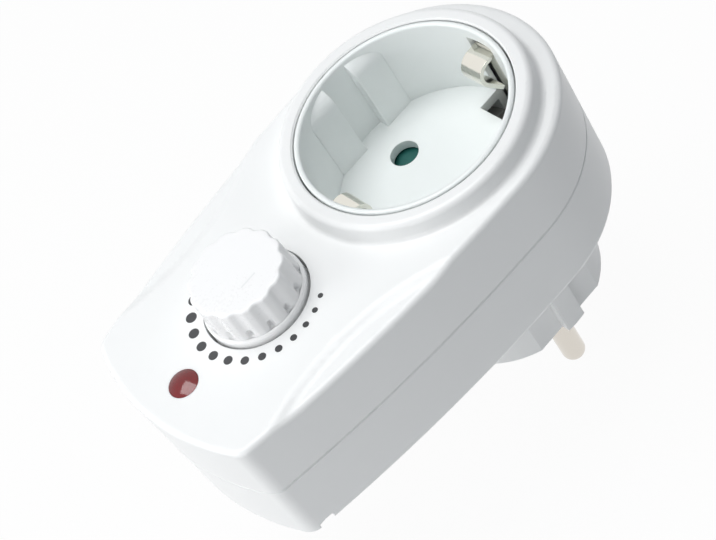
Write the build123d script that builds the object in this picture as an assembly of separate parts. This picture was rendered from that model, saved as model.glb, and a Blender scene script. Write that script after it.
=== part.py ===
"""Plug-in lamp dimmer: a white two-shell housing with a recessed socket and a fluted
control knob on its face, and a round plug boss with two pins on its back.

The origin is the centre of the plug boss's contact face, midway between the pins.
+Z points out of the face, +Y from the knob end to the socket end. Millimetres.
"""
from build123d import *
import math
import os

# Pins of the plug and socket standard
PIN_SPACING = 19.0
PIN_RADIUS = 2.4
PIN_LENGTH = 19.0
PIN_X = PIN_SPACING / 2

# Socket contacts, around the pins, and the tubes that hold them
CONTACT_GRIP = 0.05
CONTACT_WALL = 0.75
CONTACT_FLARE = 0.7
CONTACT_FLARE_THICKNESS = 0.6
CONTACT_LENGTH = 15.3
CONTACT_BASE = 1.0
CONTACT_SINK = 0.3
CONTACT_SLIT = 0.7
CONTACT_SLIT_DEPTH = 9.0
CONTACT_FIT = 0.3
CARRIER_TUBE_WALL = 0.4
TAB_END = 0.4
TAB_HALF_WIDTH = 1.6
CONTACT_BORE_RADIUS = PIN_RADIUS + CONTACT_GRIP
CONTACT_RADIUS = CONTACT_BORE_RADIUS + CONTACT_WALL
CONTACT_FLARE_RADIUS = CONTACT_RADIUS + CONTACT_FLARE
CONTACT_SEAT_RADIUS = CONTACT_FLARE_RADIUS + CONTACT_FIT
CARRIER_TUBE_RADIUS = CONTACT_SEAT_RADIUS + CARRIER_TUBE_WALL

# Plug boss around those tubes, and the well that takes such a boss
BOSS_WALL = 2.2
BOSS_TUBE_GAP = 0.2
BOSS_END_THICKNESS = 2.6
BOSS_EDGE_CHAMFER = 0.5
PLUG_FIT = 1.0
RIB_DEPTH = 2.5
RIB_FIT = 0.4
KEY_WIDTH = 4.4
KEY_FIT = 1.54
WELL_DEPTH = 17.8
BOSS_FLAT_X = PIN_X + CARRIER_TUBE_RADIUS + BOSS_TUBE_GAP + BOSS_WALL
RIB_FACE_X = BOSS_FLAT_X + RIB_FIT
WELL_RADIUS = RIB_FACE_X + RIB_DEPTH
BOSS_RADIUS = WELL_RADIUS - PLUG_FIT
RIB_GAP = KEY_WIDTH + KEY_FIT

# Collar around the socket, from the cup outwards
CUP_WALL = 1.05
CUP_FIT = 0.3
COLLAR_WALL = 2.85
COLLAR_FLARE = 0.5
COLLAR_MARGIN = 2.8
COLLAR_HEIGHT = 3.8
COLLAR_EDGE_RADIUS = 1.2
COLLAR_FOOT_RADIUS = 0.9
COLLAR_FOOT_SHARE = 0.95
COLLAR_MOUTH_CHAMFER = 0.3
CUP_RADIUS = WELL_RADIUS + CUP_WALL
COLLAR_TOP_RADIUS = CUP_RADIUS + CUP_FIT + COLLAR_WALL
COLLAR_BASE_RADIUS = COLLAR_TOP_RADIUS + COLLAR_FLARE

# Row of pieces from the socket to the knob end: board, film capacitor, potentiometer, fuse, lamp
CUP_FLANGE_REACH = 1.95
BOARD_CUP_GAP = 1.3
BOARD_EDGE_GAP = 1.0
FILM_CAP_WIDTH = 5.0
FILM_CAP_GAP = 2.3
POT_RADIUS = 8.0
RESISTOR_SET_BACK = 0.125
RESISTOR_RADIUS = 1.15
FUSE_GAP = 0.125
FUSE_RADIUS = 2.3
FUSE_CAP_WALL = 0.3
CLIP_THICKNESS = 0.5
LAMP_GAP = 1.4
LAMP_RADIUS = 2.0
LAMP_FROM_END = 8.2
FUSE_CAP_RADIUS = FUSE_RADIUS + FUSE_CAP_WALL
CLIP_RADIUS = FUSE_CAP_RADIUS + CLIP_THICKNESS
CUP_FLANGE_RADIUS = CUP_RADIUS + CUP_FLANGE_REACH
BOARD_HIGH_Y = -CUP_FLANGE_RADIUS - BOARD_CUP_GAP
FILM_CAP_Y = BOARD_HIGH_Y - BOARD_EDGE_GAP - FILM_CAP_WIDTH / 2
KNOB_Y = FILM_CAP_Y - FILM_CAP_WIDTH / 2 - FILM_CAP_GAP - POT_RADIUS
RESISTOR_LOW_Y = KNOB_Y - POT_RADIUS - RESISTOR_SET_BACK
FUSE_Y = RESISTOR_LOW_Y - RESISTOR_RADIUS - FUSE_GAP - CLIP_RADIUS
LAMP_Y = FUSE_Y - CLIP_RADIUS - LAMP_GAP - LAMP_RADIUS
LAMP_X = 0.7

# Body outline, seen from the face
HALF_WIDTH = COLLAR_BASE_RADIUS + COLLAR_MARGIN
ROUND_END_Y = 0.9
BODY_LENGTH = HALF_WIDTH + ROUND_END_Y - LAMP_Y + LAMP_FROM_END
KNOB_END_Y = ROUND_END_Y + HALF_WIDTH - BODY_LENGTH
SIDE_RADIUS = 330.0
KNOB_END_RADIUS = 50.0
CORNER_RADIUS = 3.2

# Depths, stacked from the contact face up
BOSS_LENGTH = 21.2
REAR_DEPTH = 15.4
FRONT_DEPTH = 13.8
BACK_Z = BOSS_LENGTH
SEAM_Z = BACK_Z + REAR_DEPTH
FACE_Z = SEAM_Z + FRONT_DEPTH
RIM_Z = FACE_Z + COLLAR_HEIGHT
WALL = 2.2
INNER_BACK_Z = BACK_Z + WALL
INNER_FACE_Z = FACE_Z - WALL

# Edges and the joint between the two shells
FACE_EDGE_RADIUS = 1.1
BACK_EDGE_RADIUS = 1.4
SEAM_CHAMFER = 0.3
LIP_INSET = 1.25
LIP_HEIGHT = 1.5
LIP_SIDE_GAP = 0.1
LIP_TOP_GAP = 0.2
OVERRUN = 1.0

# Control knob in its well
KNOB_HEIGHT = 8.3
KNOB_WELL_RADIUS = 10.15
KNOB_WELL_WALL = 1.5
KNOB_WELL_DEPTH = 4.4
KNOB_WELL_FLOOR = 1.6
KNOB_GAP = 0.45
SKIRT_RADIUS = KNOB_WELL_RADIUS - KNOB_GAP
SKIRT_RISE = 1.3
SKIRT_EDGE_RADIUS = 0.6
GRIP_STEP = 0.5
GRIP_TAPER = 0.25
GRIP_BASE_RADIUS = SKIRT_RADIUS - GRIP_STEP
GRIP_TOP_RADIUS = GRIP_BASE_RADIUS - GRIP_TAPER
GRIP_EDGE_RADIUS = 0.5
RIDGE_COUNT = 14
RIDGE_ANGLE = -4.1
FLUTE_RADIUS = 2.6
FLUTE_DEPTH = 0.5
SCOOP_RADIUS = 0.7
SCOOP_INSET = 0.25
SCOOP_LIFT = 0.65
KNOB_CROWN = 2.2
KNOB_SHELL = 1.9
KNOB_FLOAT = 0.6
HUB_FLOAT = 0.9
HUB_WALL = 1.7
BORE_FIT = 0.03

# Sunk grip ledges on the long sides of the face
LEDGE_DEPTH = 0.8
LEDGE_SLOPE = 2.8
LEDGE_WIDTH = 5.8
LEDGE_WAIST_SHIFT = 1.0
LEDGE_FROM_END = 8.0
LEDGE_HIGH_Y = -14.0
LEDGE_WAIST_Y = KNOB_Y - LEDGE_WAIST_SHIFT
LEDGE_LOW_Y = KNOB_END_Y + LEDGE_FROM_END
UPRIGHT_LIMIT = 0.01

# Socket insert: a cup with guide ribs
FLOOR_THICKNESS = 2.0
CUP_FLANGE_THICKNESS = 1.6
CUP_SKIRT_WALL = 1.55
CUP_LIP_RADIUS = 0.45
WELL_FLOOR_Z = RIM_Z - WELL_DEPTH
FLOOR_UNDER_Z = WELL_FLOOR_Z - FLOOR_THICKNESS
RIB_WIDTH = 6.4
RIB_TOP_DROP = 0.8
RIB_LEAD_DROP = 4.8
RIB_ROOT = 0.3
LEAD_ACROSS_SHARE = 0.3
LEAD_UP_SHARE = 0.7
PIN_HOLE_FIT = 0.4

# Plug pins, inside the boss
PIN_SHOULDER_STEP = 0.3
PIN_FLANGE_STEP = 1.1
PIN_FLANGE_THICKNESS = 1.5
PIN_TAIL_STEP = 0.4
PIN_FIT = 0.05
LIVE_TAIL_LENGTH = 6.0
PIN_SHOULDER_RADIUS = PIN_RADIUS + PIN_SHOULDER_STEP
PIN_TAIL_RADIUS = PIN_RADIUS - PIN_TAIL_STEP

# Earth contacts: one bent strip on each side of the axis
STRIP_THICKNESS = 0.8
STRIP_WIDTH = 5.0
STRIP_SINK = 0.65
STRIP_CUP_GAP = 0.1
STRIP_END_Z = 0.6
STRIP_JOG_RISE = 3.6
STRIP_JOG_RADIUS = 1.4
STRIP_FIT = 0.3
STRIP_SIDE_GAP = 0.6
STRIP_BOSS_Y = BOSS_RADIUS - STRIP_SINK - STRIP_THICKNESS / 2
STRIP_CUP_Y = CUP_RADIUS + STRIP_CUP_GAP + STRIP_THICKNESS / 2
SLOT_HALF_WIDTH = STRIP_WIDTH / 2 + STRIP_SIDE_GAP
HOOK_TOP_DROP = 4.9
HOOK_REACH = 6.65
HOOK_RADIUS = 2.6
HOOK_SHOULDER_RADIUS = 1.3
HOOK_LEG_INSET = 1.2
HOOK_LEG_DROP = 7.7
WALL_SLOT_DROP = 2.5
FLOOR_SLOT_REACH = 4.8
BRIDGE_LIFT = 0.7

# Contact carrier, under the socket floor
SHUTTER_SPACE = 3.2
CARRIER_INSET = 1.15
CARRIER_WALL = 2.0
CARRIER_PLATE = 2.0
CARRIER_TUBE_LENGTH = 13.7
CARRIER_NOTCH_INSET = 1.05
CARRIER_RADIUS = CUP_RADIUS - CARRIER_INSET
CARRIER_TOP_Z = FLOOR_UNDER_Z - SHUTTER_SPACE
WIRE_WINDOW_HEIGHT = 4.4
WIRE_WINDOW_MARGIN = 1.6

# Safety shutter
POST_RADIUS = 2.0
SHUTTER_RUNNING_FIT = 0.05
SHUTTER_HUB_WALL = 3.2
SHUTTER_OVERLAP = 1.3
SHUTTER_THICKNESS = 2.2
SHUTTER_LIFT = 0.5
SHUTTER_FOOT = 0.35
BLADE_HALF_ANGLE = 21.0
RAMP_SHARE = 0.55
SPRING_GAP = 0.78
SPRING_WIRE = 0.44
SPRING_HEIGHT = 1.5
SPRING_POCKET_GAP = 0.68
SPRING_POCKET_DEPTH = 1.7
SPRING_INNER_RADIUS = POST_RADIUS + SPRING_GAP
SPRING_OUTER_RADIUS = SPRING_INNER_RADIUS + SPRING_WIRE
SHUTTER_RADIUS = PIN_X + PIN_RADIUS + PIN_HOLE_FIT + SHUTTER_OVERLAP

# Potentiometer, hung under the knob well
POT_HEIGHT = 7.6
POT_WALL = 1.0
SHAFT_RADIUS = 3.0
SHAFT_FLAT = 1.6
SHAFT_RUNNING_FIT = 0.05
SHAFT_FOOT_STEP = 1.2
BUSHING_WALL = 0.5
BUSHING_RISE = 5.9
BUSHING_DROP = 0.9
BUSHING_HOLE_GAP = 0.4
BUSHING_RADIUS = SHAFT_RADIUS + BUSHING_WALL
SHAFT_FOOT_RADIUS = SHAFT_RADIUS - SHAFT_FOOT_STEP
TRACK_INSET = 1.8
TRACK_WIDTH = 2.0
TRACK_THICKNESS = 0.5
TRACK_GAP_ANGLE = 60.0
TRACK_RADIUS = POT_RADIUS - TRACK_INSET
WIPER_THICKNESS = 0.6
WIPER_HUB_WALL = 1.6
WIPER_WIDTH = 2.2
WIPER_CLEARANCE = 0.3

# Circuit board
BOARD_THICKNESS = 1.6
BOARD_END_GAP = 3.5
BOARD_SIDE_GAP = 0.45
BOARD_CORNER = 4.0
BOARD_TOP_Z = FACE_Z - KNOB_WELL_DEPTH - BUSHING_DROP - BUSHING_RISE - POT_HEIGHT
BOARD_Z = BOARD_TOP_Z - BOARD_THICKNESS
BOARD_LOW_Y = KNOB_END_Y + WALL + BOARD_END_GAP
BOARD_SCREW_INSET = 2.2
BOARD_SCREW_FROM_KNOB = 8.6
BOARD_POST_RADIUS = 2.6
BOARD_SCREW_HEAD_RADIUS = 2.2
BOARD_SCREW_HEAD = 1.5
BOARD_SCREW_RADIUS = 1.1
BOARD_SCREW_LENGTH = 6.5
SCREW_FIT = 0.05

# Indicator lamp and its lens
LENS_RADIUS = 2.8
LENS_DOME = 0.7
LENS_FLANGE_REACH = 0.9
LENS_FLANGE = 1.3
LENS_FIT = 0.04
LENS_SHELL = 0.6
LAMP_LENGTH = 9.6
LAMP_TOP_GAP = 0.5
LEAD_RADIUS = 0.3
LEAD_OFFSET = 0.9

# Components on the board, placed around the potentiometer
CHOKE_GAP = 0.3
CHOKE_SHIFT = 2.0
CHOKE_MAJOR_RADIUS = 4.2
CHOKE_CORE_RADIUS = 1.5
CHOKE_COIL = 0.45
CHOKE_WINDING_RADIUS = CHOKE_CORE_RADIUS + CHOKE_COIL
FILM_CAP_X = -9.5
FILM_CAP_LENGTH = 12.5
FILM_CAP_HEIGHT = 10.0
TIMING_CAP_GAP = 2.5
TIMING_CAP_X = 10.4
TIMING_CAP_LENGTH = 7.0
TIMING_CAP_WIDTH = 2.6
TIMING_CAP_HEIGHT = 6.5
DIAC_GAP = 1.9
DIAC_X = 1.6
DIAC_LENGTH = 4.2
DIAC_RADIUS = 0.9
RESISTOR_LENGTH = 6.2
RESISTOR_X = 9.5
RESISTOR_GAP = 0.7
RESISTOR_SHIFT = 2.4
TIMING_CAP_Y = KNOB_Y + POT_RADIUS + TIMING_CAP_GAP + TIMING_CAP_WIDTH / 2
RESISTOR_HIGH_Y = TIMING_CAP_Y + TIMING_CAP_WIDTH / 2 + RESISTOR_GAP + RESISTOR_RADIUS
HEAT_SINK_GAP = 8.3
HEAT_SINK_THICKNESS = 1.5
HEAT_SINK_LENGTH = 21.4
HEAT_SINK_SHIFT = 0.7
HEAT_SINK_HEIGHT = 14.0
HEAT_SINK_X = POT_RADIUS + HEAT_SINK_GAP
TRIAC_WIDTH = 10.0
TRIAC_BODY_DEPTH = 3.1
TRIAC_BODY_HEIGHT = 9.0
TRIAC_TAB_THICKNESS = 1.3
TRIAC_TAB_HEIGHT = 13.0
TRIAC_LIFT = 0.8
TRIAC_TAB_HOLE_RADIUS = 1.8
TRIAC_TAB_HOLE_DROP = 3.0
FUSE_LENGTH = 20.0
FUSE_CAP_LENGTH = 5.0
FUSE_CAP_END = 0.5
FUSE_FOOT = 0.6
CLIP_WIDTH = 4.0

# Wires
WIRE_RADIUS = 0.9
WIRE_BEND = 2.4
LIVE_WIRE_INSET = 5.0
CONTACT_WIRE_INSET = 4.0
WIRE_END_INSET = 3.3
WIRE_RUN_LIFT = 2.6
WIRE_X = PIN_X - CONTACT_RADIUS - WIRE_RADIUS
TAB_REACH = PIN_X - WIRE_X + WIRE_RADIUS + TAB_END
LIVE_WIRE_DROP_Y = LIVE_WIRE_INSET + BOSS_WALL - BOSS_RADIUS
CONTACT_WIRE_DROP_Y = CONTACT_WIRE_INSET + BOSS_WALL - BOSS_RADIUS
WIRE_RISE_Y = BOARD_HIGH_Y - WIRE_END_INSET

# Housing screws and their posts
POST_INSET = 6.05
POST_FROM_END = 10.2
POST_CUP_GAP = 1.6
POST_HIGH_INSET = 6.66
REAR_POST_RADIUS = 3.9
FRONT_POST_RADIUS = 2.9
POST_GAP = 0.3
SCREW_HEAD_RADIUS = 2.75
SCREW_HEAD_HEIGHT = 2.2
SCREW_RADIUS = 1.45
SCREW_LENGTH = 16.0
SCREW_SEAT = 5.8
SCREW_PASSAGE_GAP = 0.25
SCREW_HEAD_GAP = 0.15
DRIVER_RECESS_RADIUS = 1.5
DRIVER_RECESS_WIDTH = 0.7
DRIVER_RECESS_DEPTH = 1.1
PRY_NOTCH_FROM_END = 7.7
PRY_NOTCH_WIDTH = 3.0
PRY_NOTCH_HEIGHT = 2.1
PRY_NOTCH_REACH = 1.6
PRY_NOTCH_Y = KNOB_END_Y + PRY_NOTCH_FROM_END

BASE = (Align.CENTER, Align.CENTER, Align.MIN)
SIDES = (-1, 1)


def rod(radius, low, high, x=0.0, y=0.0):
    """Upright cylinder between two heights."""
    return Pos(x, y, low) * Cylinder(radius, high - low, align=BASE)


def tube(outer, inner, low, high, x=0.0, y=0.0):
    """Upright tube between two heights."""
    return rod(outer, low, high, x, y) - rod(inner, low - OVERRUN, high + OVERRUN, x, y)


def block(x0, x1, y0, y1, low, high):
    """Box between three pairs of limits."""
    size = (abs(x1 - x0), abs(y1 - y0), high - low)
    return Pos((x0 + x1) / 2, (y0 + y1) / 2, low) * Box(*size, align=BASE)


def slab(face, low, high):
    """Flat face drawn out between two heights."""
    return extrude(Pos(0, 0, low) * face, high - low, dir=(0, 0, 1))


def lying_rod(radius, length, x, y, z):
    """Cylinder along X, centred on a point."""
    return Pos(x, y, z) * Rot(0, 90, 0) * Cylinder(radius, length)


def circle_meeting(centre_a, radius_a, centre_b, radius_b):
    """The lower point where two circles cross."""
    ax, ay = centre_a
    bx, by = centre_b
    gap = math.dist(centre_a, centre_b)
    along = (gap**2 + radius_a**2 - radius_b**2) / (2 * gap)
    across = math.sqrt(radius_a**2 - along**2)
    ux, uy = (bx - ax) / gap, (by - ay) / gap
    points = [(ax + along * ux - s * across * uy, ay + along * uy + s * across * ux) for s in SIDES]
    return min(points, key=lambda point: point[1])


def bearing(centre, point):
    """Direction from one point to another, in degrees."""
    return math.degrees(math.atan2(point[1] - centre[1], point[0] - centre[0]))


def side_x(y):
    """Half width of the body at a station along it."""
    return HALF_WIDTH - SIDE_RADIUS + math.sqrt(SIDE_RADIUS**2 - (y - ROUND_END_Y) ** 2)


def posts():
    """Places of the four housing screws: two at the knob end, two clear of the cup's flange."""
    low_y = KNOB_END_Y + POST_FROM_END
    low_x = side_x(low_y) - POST_INSET
    high_x = HALF_WIDTH - POST_HIGH_INSET
    high_y = -math.sqrt((CUP_FLANGE_RADIUS + POST_CUP_GAP + REAR_POST_RADIUS) ** 2 - high_x**2)
    return [(side * x, y) for side in SIDES for x, y in ((low_x, low_y), (high_x, high_y))]


def board_half_width():
    """Half width of the board, which clears the side walls at its far end."""
    return side_x(BOARD_LOW_Y) - WALL - BOARD_SIDE_GAP


def board_screw_places():
    """Places of the board's two screws, on opposite corners of the potentiometer."""
    x = board_half_width() - BOARD_SCREW_INSET
    return [(-x, KNOB_Y - BOARD_SCREW_FROM_KNOB), (x, BOARD_HIGH_Y - BOARD_SCREW_INSET)]


def outline(inset=0.0):
    """Body outline as a face, drawn inward by an inset."""
    side = (HALF_WIDTH - SIDE_RADIUS, ROUND_END_Y)
    end = (0.0, KNOB_END_Y + KNOB_END_RADIUS)
    corner = circle_meeting(side, SIDE_RADIUS - CORNER_RADIUS, end, KNOB_END_RADIUS - CORNER_RADIUS)
    side_angle = bearing(side, corner)
    end_angle = bearing(end, corner)
    right = [
        CenterArc(side, SIDE_RADIUS - inset, side_angle, -side_angle),
        CenterArc(corner, CORNER_RADIUS - inset, end_angle, side_angle - end_angle),
    ]
    left = [edge.mirror(Plane.YZ) for edge in right]
    crown = CenterArc((0, ROUND_END_Y), HALF_WIDTH - inset, 0, 180)
    foot = CenterArc(end, KNOB_END_RADIUS - inset, -180 - end_angle, 2 * (90 + end_angle))
    return make_face([*right, *left, crown, foot])


def circle_through(a, b, c):
    """Centre and radius of the circle through three points."""
    (ax, ay), (bx, by), (cx, cy) = a, b, c
    turn = 2 * (ax * (by - cy) + bx * (cy - ay) + cx * (ay - by))
    sa, sb, sc = ax**2 + ay**2, bx**2 + by**2, cx**2 + cy**2
    centre = ((sa * (by - cy) + sb * (cy - ay) + sc * (ay - by)) / turn,
              (sa * (cx - bx) + sb * (ax - cx) + sc * (bx - ax)) / turn)
    return centre, math.dist(centre, a)


def ledge_cutter():
    """Turned cut that sinks one long side of the face, with a soft S-shaped inner slope."""
    ends = [(side_x(y), y) for y in (LEDGE_LOW_Y, LEDGE_HIGH_Y)]
    waist = (side_x(LEDGE_WAIST_Y) - LEDGE_WIDTH, LEDGE_WAIST_Y)
    centre, radius = circle_through(ends[0], waist, ends[1])
    low_z = FACE_Z - LEDGE_DEPTH
    slope = Spline((radius - LEDGE_SLOPE, low_z), (radius, FACE_Z), tangents=[(1, 0), (1, 0)])
    rest = Polyline((radius, FACE_Z), (radius, FACE_Z + OVERRUN), (0, FACE_Z + OVERRUN), (0, low_z),
                    (radius - LEDGE_SLOPE, low_z))
    profile = Plane.XZ * make_face([*slope.edges(), *rest.edges()])
    return Pos(*centre) * revolve(profile, Axis.Z)


def front_slab():
    """Solid front shell: the face with a ledge along each long side, and one rounded edge around it."""
    shell = slab(outline(), SEAM_Z, FACE_Z)
    for cutter in both_sides(ledge_cutter()):
        shell -= cutter
    walls = [face for face in shell.faces() if abs(face.normal_at(face.center()).Z) < UPRIGHT_LIMIT]
    lowest_z = FACE_Z - 2 * LEDGE_DEPTH
    return fillet([e for face in walls for e in face.edges() if e.bounding_box().min.Z > lowest_z],
                  FACE_EDGE_RADIUS)


def ring_edges(shape, radius, height):
    """Circular edges of one radius at one height."""
    near = radius / 1000
    circles = shape.edges().filter_by(GeomType.CIRCLE)
    return [e for e in circles if abs(e.radius - radius) < near and abs(e.center().Z - height) < near]


def both_sides(shape):
    """A shape and its mirror image across the YZ plane."""
    return [shape, mirror(shape, about=Plane.YZ)]


def front_housing():
    """Front shell: side walls down to the seam, the face, the collar and the knob well."""
    shell = front_slab()
    shell = chamfer(shell.edges().group_by(Axis.Z)[0], SEAM_CHAMFER)
    collar = Pos(0, 0, FACE_Z) * Cone(COLLAR_BASE_RADIUS, COLLAR_TOP_RADIUS, COLLAR_HEIGHT, align=BASE)
    collar = fillet(collar.edges().group_by(Axis.Z)[-1], COLLAR_EDGE_RADIUS)
    shell += collar
    foot_room = (COLLAR_MARGIN - FACE_EDGE_RADIUS) * COLLAR_FOOT_SHARE
    shell = fillet(ring_edges(shell, COLLAR_BASE_RADIUS, FACE_Z), min(COLLAR_FOOT_RADIUS, foot_room))
    shell -= slab(outline(WALL), SEAM_Z - OVERRUN, INNER_FACE_Z)
    shell -= slab(outline(LIP_INSET - LIP_SIDE_GAP), SEAM_Z - OVERRUN, SEAM_Z + LIP_HEIGHT + LIP_TOP_GAP)

    well_floor_z = FACE_Z - KNOB_WELL_DEPTH
    shell += rod(KNOB_WELL_RADIUS + KNOB_WELL_WALL, well_floor_z - KNOB_WELL_FLOOR, FACE_Z - WALL / 2,
                 y=KNOB_Y)
    shell -= rod(KNOB_WELL_RADIUS, well_floor_z, FACE_Z + OVERRUN, y=KNOB_Y)
    shell -= rod(BUSHING_RADIUS + BUSHING_HOLE_GAP, well_floor_z - KNOB_WELL_FLOOR - OVERRUN,
                 FACE_Z, y=KNOB_Y)
    shell -= rod(LENS_RADIUS + LENS_FIT, INNER_FACE_Z - OVERRUN, FACE_Z + OVERRUN, LAMP_X, LAMP_Y)

    mouth_radius = CUP_RADIUS + CUP_FIT
    shell -= rod(mouth_radius, INNER_FACE_Z - OVERRUN, RIM_Z + OVERRUN)
    shell -= Pos(0, 0, RIM_Z - COLLAR_MOUTH_CHAMFER) * Cone(
        mouth_radius, mouth_radius + COLLAR_MOUTH_CHAMFER, COLLAR_MOUTH_CHAMFER, align=BASE)
    for x, y in posts():
        shell += rod(FRONT_POST_RADIUS, SEAM_Z, INNER_FACE_Z + WALL / 2, x, y)
        shell -= rod(SCREW_RADIUS + SCREW_FIT, SEAM_Z - OVERRUN, INNER_FACE_Z, x, y)
    strip_top_z = RIM_Z - HOOK_TOP_DROP + STRIP_THICKNESS / 2 + STRIP_FIT
    strip_reach = STRIP_CUP_Y + STRIP_THICKNESS / 2 + STRIP_FIT
    for side in SIDES:
        shell -= block(-SLOT_HALF_WIDTH, SLOT_HALF_WIDTH, side * WELL_RADIUS, side * strip_reach,
                       INNER_FACE_Z - OVERRUN, strip_top_z)
    return shell


def boss_outline():
    """Contact-face outline of the plug boss: a circle with a flat and a key on each side."""
    keys = Rectangle(2 * BOSS_RADIUS, KEY_WIDTH)
    flats = Rectangle(2 * BOSS_FLAT_X, 2 * BOSS_RADIUS)
    return (Circle(BOSS_RADIUS) & flats) + (Circle(BOSS_RADIUS) & keys)


def rear_housing():
    """Rear shell: the lower side walls, the back, the plug boss and the posts."""
    shell = slab(outline(), BACK_Z, SEAM_Z)
    shell = fillet(shell.edges().group_by(Axis.Z)[0], BACK_EDGE_RADIUS)
    shell = chamfer(shell.edges().group_by(Axis.Z)[-1], SEAM_CHAMFER)
    boss = slab(boss_outline(), 0, BACK_Z + WALL / 2)
    boss = chamfer(boss.edges().group_by(Axis.Z)[0], BOSS_EDGE_CHAMFER)
    shell += boss
    shell -= slab(outline(WALL), INNER_BACK_Z, SEAM_Z + OVERRUN)
    lip_ring = outline(LIP_INSET) - outline(WALL)
    shell += slab(lip_ring, SEAM_Z - LIP_HEIGHT, SEAM_Z + LIP_HEIGHT)
    hollow = Circle(BOSS_RADIUS - BOSS_WALL) & Rectangle(2 * (BOSS_FLAT_X - BOSS_WALL), 2 * BOSS_RADIUS)
    shell -= slab(hollow, BOSS_END_THICKNESS, INNER_BACK_Z + OVERRUN)

    strip_back_y = STRIP_BOSS_Y - STRIP_THICKNESS / 2
    for side in SIDES:
        shell -= rod(PIN_SHOULDER_RADIUS + PIN_FIT, -OVERRUN, BOSS_END_THICKNESS + OVERRUN, side * PIN_X)
        channel = block(-SLOT_HALF_WIDTH, SLOT_HALF_WIDTH, side * strip_back_y,
                        side * (BOSS_RADIUS + OVERRUN), -OVERRUN, BACK_Z)
        slot = block(-SLOT_HALF_WIDTH, SLOT_HALF_WIDTH, side * strip_back_y,
                     side * (strip_back_y + STRIP_THICKNESS + STRIP_FIT), BACK_Z - OVERRUN,
                     INNER_BACK_Z + OVERRUN)
        shell -= channel + slot
    shell -= block(-SLOT_HALF_WIDTH, SLOT_HALF_WIDTH, -strip_back_y, strip_back_y,
                   INNER_BACK_Z - STRIP_THICKNESS - BRIDGE_LIFT, INNER_BACK_Z + OVERRUN)

    for x, y in posts():
        post = rod(REAR_POST_RADIUS, BACK_Z + WALL / 2, SEAM_Z, x, y)
        shell += post & slab(outline(WALL / 2), BACK_Z, SEAM_Z)
        shell -= rod(SCREW_HEAD_RADIUS + SCREW_HEAD_GAP, BACK_Z - OVERRUN, BACK_Z + SCREW_SEAT, x, y)
        shell -= rod(SCREW_RADIUS + SCREW_PASSAGE_GAP, BACK_Z, SEAM_Z + OVERRUN, x, y)
    for x, y in board_screw_places():
        shell += rod(BOARD_POST_RADIUS, BACK_Z + WALL / 2, BOARD_Z, x, y)
        shell -= rod(BOARD_SCREW_RADIUS + SCREW_FIT, INNER_BACK_Z, BOARD_Z + OVERRUN, x, y)
    for side in SIDES:
        edge_x = side_x(PRY_NOTCH_Y)
        shell -= block(side * (edge_x - PRY_NOTCH_REACH), side * (edge_x + OVERRUN),
                       PRY_NOTCH_Y - PRY_NOTCH_WIDTH / 2, PRY_NOTCH_Y + PRY_NOTCH_WIDTH / 2,
                       BACK_Z - OVERRUN, BACK_Z + PRY_NOTCH_HEIGHT)
    return shell


def guide_rib(side, low_y):
    """One guide rib of the well, with a rounded lead-in at its top."""
    root_x = WELL_RADIUS + RIB_ROOT
    face_x = RIB_FACE_X
    lead_z = RIM_Z - RIB_LEAD_DROP
    top_z = RIM_Z - RIB_TOP_DROP
    middle = (face_x + (root_x - face_x) * LEAD_ACROSS_SHARE, lead_z + (top_z - lead_z) * LEAD_UP_SHARE)
    profile = make_face([
        *ThreePointArc((face_x, lead_z), middle, (root_x, top_z)).edges(),
        *Polyline((root_x, top_z), (root_x, FLOOR_UNDER_Z + FLOOR_THICKNESS / 2),
                  (face_x, FLOOR_UNDER_Z + FLOOR_THICKNESS / 2), (face_x, lead_z)).edges(),
    ])
    rib = extrude(Plane.XZ * profile, -RIB_WIDTH)
    rib = Pos(0, low_y, 0) * rib
    return rib if side > 0 else mirror(rib, about=Plane.YZ)


def socket_insert():
    """Cup that lines the socket: wall, floor, guide ribs, pin holes and earth slots."""
    cup = rod(CUP_RADIUS, CARRIER_TOP_Z, RIM_Z)
    cup += rod(CUP_FLANGE_RADIUS, INNER_FACE_Z - CUP_FLANGE_THICKNESS, INNER_FACE_Z)
    cup -= rod(WELL_RADIUS, WELL_FLOOR_Z, RIM_Z + OVERRUN)
    mouth = cup.edges().filter_by(GeomType.CIRCLE).group_by(Axis.Z)[-1]
    cup = fillet(mouth, CUP_LIP_RADIUS)
    cup -= rod(CUP_RADIUS - CUP_SKIRT_WALL, CARRIER_TOP_Z - OVERRUN, FLOOR_UNDER_Z)
    inside = rod(CUP_RADIUS - RIB_ROOT, FLOOR_UNDER_Z, RIM_Z)
    for side in SIDES:
        for low_y in (RIB_GAP / 2, -RIB_GAP / 2 - RIB_WIDTH):
            cup += guide_rib(side, low_y) & inside
    for side in SIDES:
        cup -= rod(PIN_RADIUS + PIN_HOLE_FIT, FLOOR_UNDER_Z - OVERRUN, WELL_FLOOR_Z + OVERRUN, side * PIN_X)
        outer_y = side * (CUP_FLANGE_RADIUS + OVERRUN)
        cup -= block(-SLOT_HALF_WIDTH, SLOT_HALF_WIDTH, side * (WELL_RADIUS - OVERRUN), outer_y,
                     CARRIER_TOP_Z - OVERRUN, RIM_Z - WALL_SLOT_DROP)
        cup -= block(-SLOT_HALF_WIDTH, SLOT_HALF_WIDTH, side * (WELL_RADIUS - FLOOR_SLOT_REACH), outer_y,
                     CARRIER_TOP_Z - OVERRUN, WELL_FLOOR_Z + OVERRUN)
    return cup


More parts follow.
